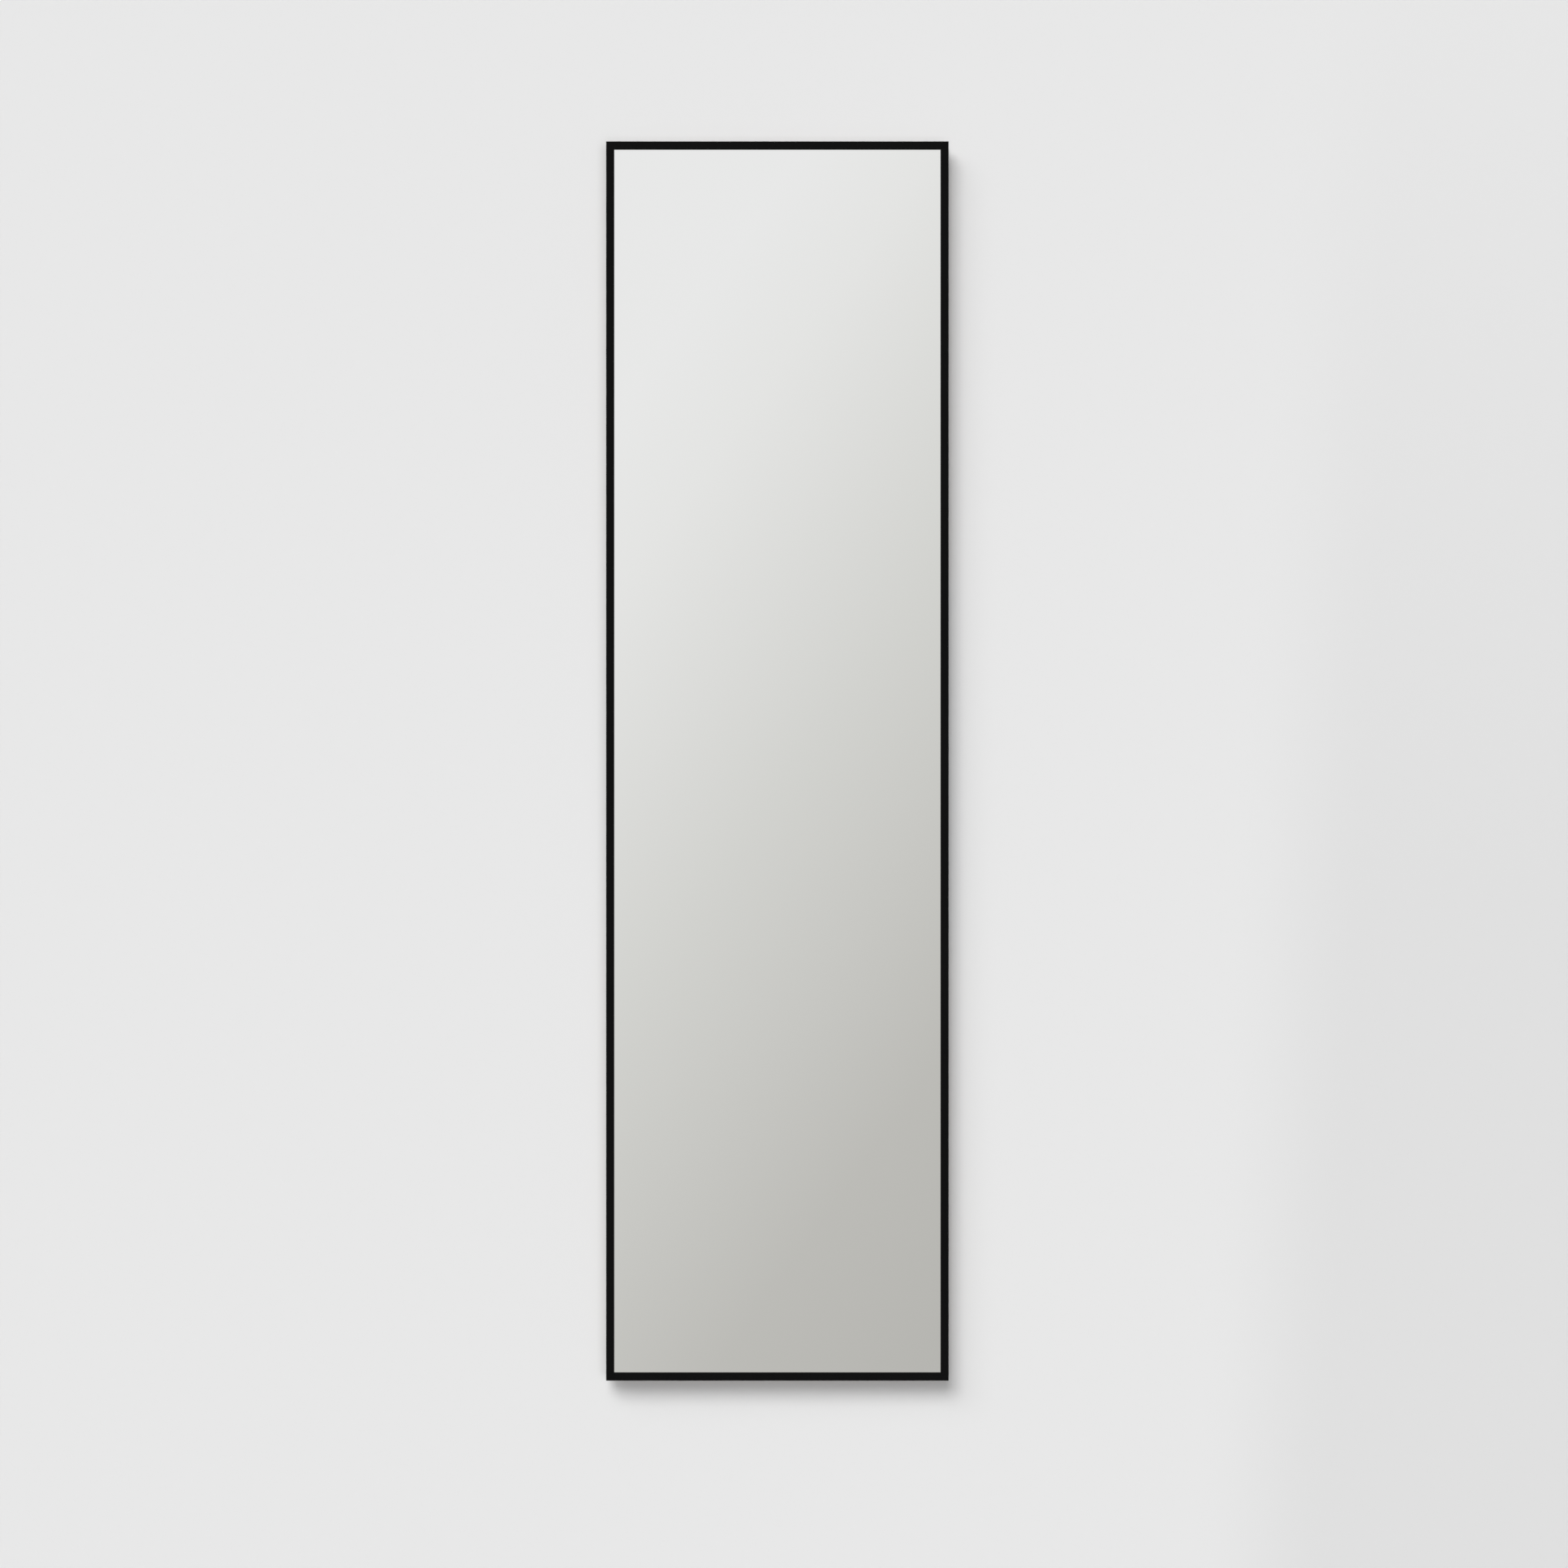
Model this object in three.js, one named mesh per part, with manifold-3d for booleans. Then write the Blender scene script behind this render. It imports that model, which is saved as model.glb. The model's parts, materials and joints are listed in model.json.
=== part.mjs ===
import * as THREE from 'three';
import { mergeVertices } from 'three/addons/utils/BufferGeometryUtils.js';
import Module from 'manifold-3d';

// Pull-out closet mirror: a framed mirror panel that swings on two hinge pins, on a carriage that
// two full-extension ball runners carry along the wall.
// Lengths are in millimetres. X runs along the wall in the direction of the pull, Y goes into the
// wall and Z is up. The origin is the centre of the mounting plate's wall side. A size called a
// depth is measured from the wall towards the viewer, so it is placed at minus Y.

const wasm = await Module();
wasm.setup();

// Fits
const fitGap = 0.3;
const passClearance = 0.9;
const cutOverrun = 4;
const samePoint = 1e-4;

// Roundness, in steps
const raceSteps = 10;
const foldSteps = 4;
const turnedSides = 12;
const ballSides = 8;
const ballRings = 5;

// Mirror panel
const panelWidth = 356;
const panelHeight = 1288;
const frameFace = 8.4;
const frameLip = 1.4;
const frameWall = 1.4;
const frameRib = 1.2;
const frameArris = 0.5;
const keyChannel = 3.4;
const keyLeg = 36;
const glassThickness = 4;
const glassPlay = 0.6;
const boardThickness = 3;
const clipSpace = 4.2;
const clipSheet = 0.5;
const clipLength = 40;
const clipWidth = 5.8;
const clipSteps = 8;
const stileClipShares = [-0.33, 0, 0.33];
const crossBarHeight = 30;

// Hinges between carriage and panel
const hingeLevel = 166;
const pivotInset = 8;
const pinRadius = 2;
const pinHeadRadius = 3.6;
const pinHeadHeight = 1.5;
const pinTail = 1.3;
const pinGroove = 0.5;
const bushWall = 0.8;
const bushLength = 12;
const bushFlangeRadius = 4.8;
const bushFlange = 0.8;
const strapSheet = 1.8;
const strapLength = 100;
const strapScrewSetbacks = [30, 75];
const joggleRun = 1.5;
const eyeClosing = THREE.MathUtils.degToRad(215);
const pinClipSheet = 0.8;
const pinClipRim = 2;
const pinClipMouth = THREE.MathUtils.degToRad(80);

// Mounting plate
const plateSheet = 1.5;
const plateWidth = 310;
const plateHeight = 230;
const plateEdge = 9;
const plateFold = 1.5;
const wallHoleRadius = 2.75;
const wallHoleSeat = 5;
const wallHoleInset = 20;
const wallHoleFromEdge = 10;

// Ball runners
const runnerSpacing = 150;
const runnerHeight = 45;
const runnerLength = 300;
const cushionRoom = 10;
const cushionWidth = 18;
const cushionDepth = 7.5;
const cushionRound = 1.5;
const outerSheet = 1.2;
const middleSheet = 1;
const innerSheet = 1.2;
const cageSheet = 0.6;
const cageSetback = 80;
const cageEnd = 10;
const cageCorner = 1;
const cageTail = 2;
const ballRadius = 2.2;
const ballPitch = 22;
const middleFold = 0.3;
const innerFold = 0.15;
const ballLeadShare = 0.57;
const rowSlant = THREE.MathUtils.degToRad(45);
const shoulderAngle = THREE.MathUtils.degToRad(135);
const outerLip = THREE.MathUtils.degToRad(15);
const middleLip = THREE.MathUtils.degToRad(30);
const innerThroat = THREE.MathUtils.degToRad(-49);
const innerLip = THREE.MathUtils.degToRad(-150);

// Carriage
const carriageSheet = 1.5;
const carriageFold = 1.5;
const carriageMargin = 2.5;
const carriageOverlap = 110;
const flangeSetback = 11;
const carriageClearance = 1.5;
const earReach = 8.25;
const earRadius = 4.9;
const bumperFromTail = 15;
const bumperSpacing = 80;
const bumperFoot = 6;
const bumperNose = 4.5;
const bumperStem = 1.8;
const bumperStemTail = 3;
const bumperBarb = 0.9;

// Screws and rivets
const screwShank = 2;
const screwHead = 3.7;
const screwHeadDepth = 1.4;
const screwPoint = 0.6;
const strapScrewLength = 4.4;
const carriageScrewLength = 8;
const carriageScrewSetbacks = [80, 20];
const rivetShank = 2;
const rivetHead = 3.3;
const rivetHeadDepth = 1;
const rivetRecess = 0.1;
const rivetSetback = 50;

// Races of the balls. Places in a runner's section are (depth from its back, height).
const outerRace = ballRadius + fitGap + outerSheet / 2;
const middleRace = ballRadius + fitGap + middleSheet / 2;
const innerRace = ballRadius + fitGap + innerSheet / 2;
const outerWeb = outerSheet / 2;
const outerCageWeb = outerSheet + fitGap + cageSheet / 2;
const middleWeb = outerSheet + fitGap + cageSheet + fitGap + middleSheet / 2;
const innerCageWeb = middleWeb + middleSheet / 2 + fitGap + cageSheet / 2;
const outerRow = new THREE.Vector2(
  middleWeb + ballLeadShare * middleRace,
  runnerHeight / 2 - outerSheet / 2 - outerRace,
);
const innerRow = outerRow.clone().add(onCircle(2 * middleRace, -rowSlant));
const innerBend = innerSheet / 2 + innerFold;
const innerBendCentre = innerRow.clone().add(onCircle(innerRace + innerBend, innerThroat));
const innerWeb = innerBendCentre.x + innerBend;
const runnerDepth = innerWeb + innerSheet / 2;

// Depths from the wall
const runnerBack = plateSheet + fitGap;
const runnerFront = runnerBack + runnerDepth;
const carriageBack = runnerFront + fitGap;
const carriageFront = carriageBack + carriageSheet;
const frameBack = runnerFront + passClearance;
const ribFront = frameLip + fitGap + glassThickness + fitGap + boardThickness + clipSpace;
const channelFront = ribFront + frameRib;
const channelBack = channelFront + keyChannel;
const frameDepth = channelBack + frameRib;
const frameFront = frameBack + frameDepth;
const glassFront = frameFront - frameLip - fitGap;
const boardFront = glassFront - glassThickness - fitGap;
const boardBack = boardFront - boardThickness;
const barThickness = keyChannel - 2 * fitGap;
const barBack = frameFront - channelBack + fitGap;
const memberLength = runnerLength - cushionRoom;
const memberCentre = cushionRoom / 2;
const memberFront = memberCentre + memberLength / 2;
const cageLength = memberLength - 2 * cageSetback;
const ballsInRow = Math.floor((cageLength - 2 * cageEnd) / ballPitch) + 1;
const rivetPlaces = [-1, 1].map((side) => side * (runnerLength / 2 - rivetSetback));
const carriageTail = memberFront - carriageOverlap;
const carriageScrewPlaces = carriageScrewSetbacks.map((setback) => memberFront - setback);

// Hinge axis
const bushRadius = pinRadius + fitGap + bushWall;
const eyeBore = bushRadius + fitGap;
const eyeRadius = eyeBore + strapSheet / 2;
const pivotX = memberFront + flangeSetback + carriageSheet / 2 + earReach;
const pivotInPanel = panelWidth / 2 - pivotInset;
const pivotDepth = frameBack - fitGap - strapSheet / 2 - eyeRadius;
const earInside = crossBarHeight / 2 + fitGap + bushFlange + fitGap;
const earOutside = earInside + carriageSheet;
const flangeX = pivotX - earReach;

// Finishes
const frameBlack = [0x171717, 0.62, 0.1];
const coatedSteel = [0x1c1c1d, 0.7, 0.1];
const zincSteel = [0xb9bcc0, 0.38, 0.9];
const ballSteel = [0xc9cbce, 0.25, 1];
const castKey = [0x9a9c9f, 0.5, 0.8];
const nylon = [0xe6e4dc, 0.5, 0];
const rubber = [0x1a1a1a, 0.9, 0];
const hardboard = [0x4a3a2c, 0.85, 0];
const mirrorFace = [0xe8ebeb, 0.03, 1];

function onCircle(radius, angle) {
  return new THREE.Vector2(radius * Math.cos(angle), radius * Math.sin(angle));
}

function arc(centre, radius, from, to, steps) {
  const clockwise = to < from;
  return new THREE.ArcCurve(centre.x, centre.y, radius, from, to, clockwise).getPoints(steps);
}

function withoutRepeats(points) {
  return points.filter((point, i) => i === 0 || point.distanceTo(points[i - 1]) > samePoint);
}

// A bent sheet's section: its centre line, given a thickness.
function sheetSection(centreLine, thickness) {
  const line = withoutRepeats(centreLine);
  const headings = line.slice(1).map((point, i) => point.clone().sub(line[i]).normalize());
  const left = [];
  const right = [];
  line.forEach((point, i) => {
    const arriving = headings[Math.max(i - 1, 0)];
    const leaving = headings[Math.min(i, headings.length - 1)];
    const across = new THREE.Vector2(-arriving.y - leaving.y, arriving.x + leaving.x);
    across.multiplyScalar(thickness / across.lengthSq());
    left.push(point.clone().add(across));
    right.push(point.clone().sub(across));
  });
  return new THREE.Shape([...left, ...right.reverse()]);
}

// The whole section of a member that is the same above and below its middle.
function bothHalves(upperHalf) {
  const lowerHalf = upperHalf.map((point) => new THREE.Vector2(point.x, -point.y));
  return [...lowerHalf.reverse(), ...upperHalf];
}

function extrude(shape, length) {
  return new THREE.ExtrudeGeometry(shape, { depth: length, bevelEnabled: false, curveSegments: foldSteps });
}

// A section (depth, height) run along the wall, centred on X.
const alongTheWall = new THREE.Matrix4().makeBasis(
  new THREE.Vector3(0, -1, 0),
  new THREE.Vector3(0, 0, 1),
  new THREE.Vector3(-1, 0, 0),
);

function runAlongWall(shape, length) {
  return extrude(shape, length).translate(0, 0, -length / 2).applyMatrix4(alongTheWall);
}

// A plan (X, Y) raised to a height, centred on Z.
function raise(shape, height) {
  return extrude(shape, height).translate(0, 0, -height / 2);
}

// A turned piece about Y, from its lowest to its highest point (radius, place along the axis).
function turned(profile) {
  const points = profile.map(([radius, along]) => new THREE.Vector2(radius, along));
  return new THREE.LatheGeometry(withoutRepeats(points), turnedSides);
}

function toSolid(geometry) {
  const bare = geometry.clone();
  bare.deleteAttribute('normal');
  bare.deleteAttribute('uv');
  const merged = mergeVertices(bare, samePoint);
  const corners = merged.index.array;
  const kept = [];
  for (let i = 0; i < corners.length; i += 3) {
    const [a, b, c] = corners.slice(i, i + 3);
    if (a !== b && b !== c && c !== a) {
      kept.push(a, b, c);
    }
  }
  const vertProperties = merged.attributes.position.array;
  return new wasm.Manifold(new wasm.Mesh({ numProp: 3, vertProperties, triVerts: Uint32Array.from(kept) }));
}

function toGeometry(solid) {
  const mesh = solid.getMesh();
  const geometry = new THREE.BufferGeometry();
  geometry.setAttribute('position', new THREE.BufferAttribute(mesh.vertProperties, 3));
  geometry.setIndex(new THREE.BufferAttribute(mesh.triVerts, 1));
  geometry.computeVertexNormals();
  return geometry;
}

function cut(body, tools) {
  return toGeometry(tools.reduce((solid, tool) => solid.subtract(toSolid(tool)), toSolid(body)));
}

function join(bodies) {
  return toGeometry(bodies.map(toSolid).reduce((whole, body) => whole.add(body)));
}

function piece(name, geometry, [color, roughness, metalness]) {
  const mesh = new THREE.Mesh(geometry, new THREE.MeshStandardMaterial({ color, roughness, metalness }));
  mesh.name = name;
  return mesh;
}

const facingWall = 0;
const facingRoom = Math.PI;

// A countersunk screw along Y, its flat head at the origin. It faces the wall or the room.
function screw(length, facing) {
  return turned([
    [0, -length],
    [screwShank - screwPoint, -length],
    [screwShank, screwPoint - length],
    [screwShank, -screwHeadDepth],
    [screwHead, 0],
    [0, 0],
  ]).rotateX(facing);
}

// The hole and seat for a countersunk head.
function sunkHole(shank, head, seat, facing) {
  return turned([
    [0, -cutOverrun],
    [shank, -cutOverrun],
    [shank, -seat],
    [head, 0],
    [head, cutOverrun],
    [0, cutOverrun],
  ]).rotateX(facing);
}

const screwSeat = (facing) => sunkHole(screwShank + fitGap, screwHead + fitGap, screwHeadDepth, facing);

function roundHole(radius) {
  return new THREE.CylinderGeometry(radius, radius, 2 * cutOverrun, turnedSides);
}

// A flush rivet through the mounting plate and the web of an outer member, and the hole for it.
function rivetProfile(growth, overrun) {
  const front = -(runnerBack + outerSheet);
  return [
    [0, front + rivetRecess - overrun],
    [rivetHead + growth, front + rivetRecess - overrun],
    [rivetHead + growth, front + rivetRecess],
    [rivetShank + growth, front + rivetHeadDepth],
    [rivetShank + growth, -rivetHeadDepth],
    [rivetHead + growth, -rivetRecess],
    [rivetHead + growth, overrun - rivetRecess],
    [0, overrun - rivetRecess],
  ];
}

// Fixed side

function mountingPlateGeometry() {
  const top = plateHeight / 2 - plateSheet / 2;
  const foldCentre = new THREE.Vector2(plateSheet / 2 + plateFold, top - plateFold);
  const upperHalf = [
    ...arc(foldCentre, plateFold, Math.PI, Math.PI / 2, foldSteps),
    new THREE.Vector2(plateEdge, top),
  ];
  const plate = runAlongWall(sheetSection(bothHalves(upperHalf), plateSheet), plateWidth);
  const holes = [];
  for (const side of [-1, 1]) {
    for (const level of [-1, 0, 1]) {
      const x = side * (plateWidth / 2 - wallHoleInset);
      const z = level * (plateHeight / 2 - wallHoleFromEdge);
      holes.push(sunkHole(wallHoleRadius, wallHoleSeat, plateSheet, facingRoom).translate(x, -plateSheet, z));
    }
  }
  return cut(plate, [...holes, ...rivetHoles(runnerSpacing / 2), ...rivetHoles(-runnerSpacing / 2)]);
}

function rivetHoles(z) {
  return rivetPlaces.map((x) => turned(rivetProfile(fitGap, fitGap)).translate(x, 0, z));
}

function outerMemberGeometry() {
  const raceStart = outerRow.clone().add(onCircle(outerRace, shoulderAngle));
  const shoulderRun = (raceStart.x - outerWeb) / Math.sin(shoulderAngle);
  const upperHalf = [
    new THREE.Vector2(outerWeb, raceStart.y + shoulderRun * Math.cos(shoulderAngle)),
    ...arc(outerRow, outerRace, shoulderAngle, outerLip, raceSteps),
  ];
  const member = runAlongWall(sheetSection(bothHalves(upperHalf), outerSheet), runnerLength);
  return cut(member, rivetHoles(0).map((hole) => hole.translate(0, runnerBack, 0)));
}

function endCushionGeometry() {
  const length = cushionRoom - 2 * fitGap;
  const near = outerSheet + fitGap;
  const corners = [
    [near + cushionRound, -cushionWidth / 2 + cushionRound, Math.PI],
    [near + cushionDepth - cushionRound, -cushionWidth / 2 + cushionRound, -Math.PI / 2],
    [near + cushionDepth - cushionRound, cushionWidth / 2 - cushionRound, 0],
    [near + cushionRound, cushionWidth / 2 - cushionRound, Math.PI / 2],
  ];
  const outline = corners.flatMap(([x, y, from]) => (
    arc(new THREE.Vector2(x, y), cushionRound, from, from + Math.PI / 2, foldSteps)
  ));
  return runAlongWall(new THREE.Shape(outline), length);
}

// Ball runners

function middleMemberGeometry() {
  const bend = middleSheet / 2 + middleFold;
  const throat = -Math.acos((middleWeb + bend - outerRow.x) / (middleRace + bend));
  const bendCentre = outerRow.clone().add(onCircle(middleRace + bend, throat));
  const upperHalf = [
    ...arc(bendCentre, bend, Math.PI, throat + Math.PI, foldSteps),
    ...arc(outerRow, middleRace, throat, -rowSlant, raceSteps / 2),
    ...arc(innerRow, middleRace, Math.PI - rowSlant, middleLip, raceSteps),
  ];
  return runAlongWall(sheetSection(bothHalves(upperHalf), middleSheet), memberLength);
}

function innerMemberGeometry() {
  const upperHalf = [
    ...arc(innerBendCentre, innerBend, 0, Math.PI + innerThroat, 2 * foldSteps),
    ...arc(innerRow, innerRace, innerThroat, innerLip, raceSteps),
  ];
  const member = runAlongWall(sheetSection(bothHalves(upperHalf), innerSheet), memberLength);
  const holes = carriageScrewPlaces.map((x) => (
    roundHole(screwShank + fitGap).translate(x - memberCentre, -innerWeb, 0)
  ));
  return cut(member, holes);
}

// A cage is one strip with a ball row along each of its two edges.
function cageGeometry(web, row) {
  const upperHalf = [
    new THREE.Vector2(web, row.y - cageCorner),
    new THREE.Vector2(web + cageCorner, row.y),
    new THREE.Vector2(row.x + cageTail, row.y),
  ];
  const bodies = [runAlongWall(sheetSection(bothHalves(upperHalf), cageSheet), cageLength)];
  for (const side of [-1, 1]) {
    for (let i = 0; i < ballsInRow; i += 1) {
      const x = (i - (ballsInRow - 1) / 2) * ballPitch;
      const ball = new THREE.SphereGeometry(ballRadius, ballSides, ballRings);
      bodies.push(ball.translate(x, -row.x, side * row.y));
    }
  }
  return join(bodies);
}

// Carriage

// The ear's plan, from the flange to its round end about the pin.
function earPlan() {
  const pivot = new THREE.Vector2(pivotX, -pivotDepth);
  const outline = [
    new THREE.Vector2(flangeX, -pivotDepth + earRadius),
    new THREE.Vector2(flangeX, -pivotDepth - earRadius),
    ...arc(pivot, earRadius, -Math.PI / 2, Math.PI / 2, raceSteps),
  ];
  return new THREE.Shape(outline);
}

// A folded sheet: its face lies on the inner members and its flange carries the ears.
function carriageBracketGeometry() {
  const faceDepth = carriageBack + carriageSheet / 2;
  const foldCentre = new THREE.Vector2(flangeX - carriageFold, -faceDepth + carriageFold);
  const plan = [
    new THREE.Vector2(carriageTail, -faceDepth),
    ...arc(foldCentre, carriageFold, -Math.PI / 2, 0, foldSteps),
    new THREE.Vector2(flangeX, -(plateSheet + carriageClearance)),
  ];
  const faceHeight = runnerSpacing + runnerHeight + 2 * carriageMargin;
  const armHeight = 2 * (hingeLevel + earOutside);
  const armNear = plateSheet + carriageClearance;
  const armFar = frameBack - fitGap - strapSheet - 2 * fitGap;
  const arm = new THREE.BoxGeometry(carriageSheet, armFar - armNear, armHeight);
  const bodies = [
    raise(sheetSection(plan, carriageSheet), faceHeight),
    arm.translate(flangeX, -(armNear + armFar) / 2, 0),
  ];
  const ear = cut(raise(earPlan(), carriageSheet), [
    roundHole(pinRadius + fitGap).rotateX(Math.PI / 2).translate(pivotX, -pivotDepth, 0),
  ]);
  for (const level of [-hingeLevel, hingeLevel]) {
    for (const side of [-1, 1]) {
      const z = level + side * (earInside + earOutside) / 2;
      bodies.push(ear.clone().translate(0, 0, z));
    }
  }
  const holes = [];
  for (const side of [-1, 1]) {
    for (const x of carriageScrewPlaces) {
      holes.push(screwSeat(facingRoom).translate(x, -carriageFront, side * runnerSpacing / 2));
    }
    const stemHole = roundHole(bumperStem + fitGap);
    holes.push(stemHole.translate(carriageTail + bumperFromTail, -carriageFront, side * bumperSpacing / 2));
  }
  return cut(join(bodies), holes);
}

// A push-in bumper: its stem and barb go through the bracket, its nose meets the backing board.
function closingBumperGeometry() {
  const nose = -(boardBack - fitGap);
  const foot = -(carriageFront + fitGap);
  const barb = -(carriageBack - fitGap);
  return turned([
    [0, nose],
    [bumperNose, nose],
    [bumperFoot, foot],
    [bumperStem, foot],
    [bumperStem, barb],
    [bumperStem + bumperBarb, barb],
    [bumperStem, barb + bumperStemTail],
    [0, barb + bumperStemTail],
  ]);
}

function hingePinGeometry() {
  const grooveTop = -earOutside;
  const grooveBottom = grooveTop - pinClipSheet - 2 * fitGap;
  const headFoot = earOutside + fitGap;
  return turned([
    [0, grooveBottom - pinTail],
    [pinRadius - pinGroove, grooveBottom - pinTail],
    [pinRadius, grooveBottom - pinTail + pinGroove],
    [pinRadius, grooveBottom],
    [pinRadius - pinGroove, grooveBottom],
    [pinRadius - pinGroove, grooveTop],
    [pinRadius, grooveTop],
    [pinRadius, headFoot],
    [pinHeadRadius, headFoot],
    [pinHeadRadius, headFoot + pinHeadHeight - pinGroove],
    [pinHeadRadius - pinGroove, headFoot + pinHeadHeight],
    [0, headFoot + pinHeadHeight],
  ]).rotateX(Math.PI / 2);
}

// A retaining clip: a flat ring with a mouth towards the wall.
function pinClipGeometry() {
  const bore = pinRadius - pinGroove + fitGap;
  const from = Math.PI / 2 + pinClipMouth / 2;
  const to = from + 2 * Math.PI - pinClipMouth;
  const centre = new THREE.Vector2();
  const ring = [
    ...arc(centre, bore + pinClipRim, from, to, turnedSides),
    ...arc(centre, bore, from, to, turnedSides).reverse(),
  ];
  const middle = -(earOutside + fitGap + pinClipSheet / 2);
  return raise(new THREE.Shape(ring), pinClipSheet).translate(0, 0, middle);
}

// Mirror panel

// The frame extrusion's section: across from its outer edge, and back from its front face.
function frameSection() {
  const shape = new THREE.Shape();
  shape.moveTo(frameArris, 0);
  shape.lineTo(frameFace - frameArris, 0);
  shape.absarc(frameFace - frameArris, frameArris, frameArris, -Math.PI / 2, 0, false);
  shape.lineTo(frameFace, frameLip);
  shape.lineTo(frameWall, frameLip);
  shape.lineTo(frameWall, ribFront);
  shape.lineTo(frameFace, ribFront);
  shape.lineTo(frameFace, channelFront);
  shape.lineTo(frameWall, channelFront);
  shape.lineTo(frameWall, channelBack);
  shape.lineTo(frameFace, channelBack);
  shape.lineTo(frameFace, frameDepth);
  shape.lineTo(frameArris, frameDepth);
  shape.absarc(frameArris, frameDepth - frameArris, frameArris, Math.PI / 2, Math.PI, false);
  shape.lineTo(0, frameArris);
  shape.absarc(frameArris, frameArris, frameArris, Math.PI, 1.5 * Math.PI, false);
  return shape;
}

// A length of the extrusion with both ends mitred, standing at a distance from the panel's middle.
function frameSideGeometry(length, across) {
  const geometry = extrude(frameSection(), length);
  const position = geometry.attributes.position;
  const mitreGap = fitGap / Math.SQRT2;
  for (let i = 0; i < position.count; i += 1) {
    const mitre = position.getX(i) + mitreGap;
    const atStart = position.getZ(i) < length / 2;
    position.setZ(i, atStart ? mitre : length - mitre);
  }
  return geometry.translate(-across / 2, -frameFront, -length / 2);
}

// An L-shaped plate that lies in the rear channel round a corner of the frame.
function cornerKeyGeometry() {
  const near = frameWall + fitGap;
  const far = frameFace - fitGap;
  const outline = [[near, near], [keyLeg, near], [keyLeg, far], [far, far], [far, keyLeg], [near, keyLeg]];
  const shape = new THREE.Shape(outline.map(([x, y]) => new THREE.Vector2(x, y)));
  return extrude(shape, barThickness).rotateX(Math.PI / 2).translate(0, -barBack, 0);
}

// A bowed strip: its middle presses on the board and its ends bear on the frame's rib.
function springClipGeometry() {
  const rise = clipSpace - clipSheet - 2 * fitGap;
  const radius = (clipLength * clipLength / 4 + rise * rise) / (2 * rise);
  const half = Math.asin(clipLength / 2 / radius);
  const boardSide = -(boardBack - fitGap - clipSheet / 2);
  const centre = new THREE.Vector2(0, boardSide + radius);
  const down = -Math.PI / 2;
  const bow = arc(centre, radius, down - half, down + half, clipSteps);
  return raise(sheetSection(bow, clipSheet), clipWidth);
}

function panelSlabGeometry(front, thickness) {
  const edge = frameWall + glassPlay;
  const slab = new THREE.BoxGeometry(panelWidth - 2 * edge, thickness, panelHeight - 2 * edge);
  return slab.translate(0, -front + thickness / 2, 0);
}

function crossBarGeometry() {
  const length = panelWidth - 2 * (frameWall + fitGap);
  const bar = new THREE.BoxGeometry(length, barThickness, crossBarHeight);
  bar.translate(0, -(barBack + barThickness / 2), 0);
  const holes = strapScrewSetbacks.map((setback) => (
    roundHole(screwShank + fitGap).translate(pivotInPanel - setback, -barBack, 0)
  ));
  return cut(bar, holes);
}

// A strap rolled into an eye at one end, and set forward past the stile to lie on the cross bar.
function hingeStrapGeometry() {
  const besideFrame = -(pivotDepth + eyeRadius);
  const onBar = -(barBack - fitGap - strapSheet / 2);
  const stileInner = panelWidth / 2 - frameFace;
  const joggleEnd = stileInner - 2 * fitGap;
  const pivot = new THREE.Vector2(pivotInPanel, -pivotDepth);
  const plan = [
    new THREE.Vector2(pivotInPanel - strapLength, onBar),
    new THREE.Vector2(joggleEnd - joggleRun, onBar),
    new THREE.Vector2(joggleEnd, besideFrame),
    ...arc(pivot, eyeRadius, -Math.PI / 2, eyeClosing, 2 * raceSteps),
  ];
  const strap = raise(sheetSection(plan, strapSheet), crossBarHeight);
  const seats = strapScrewSetbacks.map((setback) => (
    screwSeat(facingWall).translate(pivotInPanel - setback, -strapScrewDepth(), 0)
  ));
  return cut(strap, seats);
}

// The depth of the strap's wall side, where its screw heads lie flush.
function strapScrewDepth() {
  return barBack - fitGap - strapSheet;
}

// A flanged bush for the upper end of an eye. Turned over, it fits the lower end.
function hingeBushGeometry() {
  const bore = pinRadius + fitGap;
  const flangeFoot = crossBarHeight / 2 + fitGap;
  return turned([
    [bore, flangeFoot - bushLength],
    [bushRadius, flangeFoot - bushLength],
    [bushRadius, flangeFoot],
    [bushFlangeRadius, flangeFoot],
    [bushFlangeRadius, flangeFoot + bushFlange],
    [bore, flangeFoot + bushFlange],
    [bore, flangeFoot - bushLength],
  ]).rotateX(Math.PI / 2);
}

const ends = [['lower', -1], ['upper', 1]];

function fixedSide() {
  const group = new THREE.Group();
  group.add(piece('mounting_plate', mountingPlateGeometry(), coatedSteel));
  for (const [end, side] of ends) {
    const runner = new THREE.Group();
    runner.position.set(0, -runnerBack, side * runnerSpacing / 2);
    runner.add(piece(`${end}_outer_member`, outerMemberGeometry(), zincSteel));
    const cushion = piece(`${end}_end_cushion`, endCushionGeometry(), rubber);
    cushion.position.x = -(runnerLength - cushionRoom) / 2;
    runner.add(cushion);
    rivetPlaces.forEach((x, i) => {
      const rivet = piece(`${end}_runner_rivet_${i + 1}`, turned(rivetProfile(0, 0)), zincSteel);
      rivet.position.set(x, runnerBack, 0);
      runner.add(rivet);
    });
    group.add(runner);
  }
  return group;
}

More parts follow.
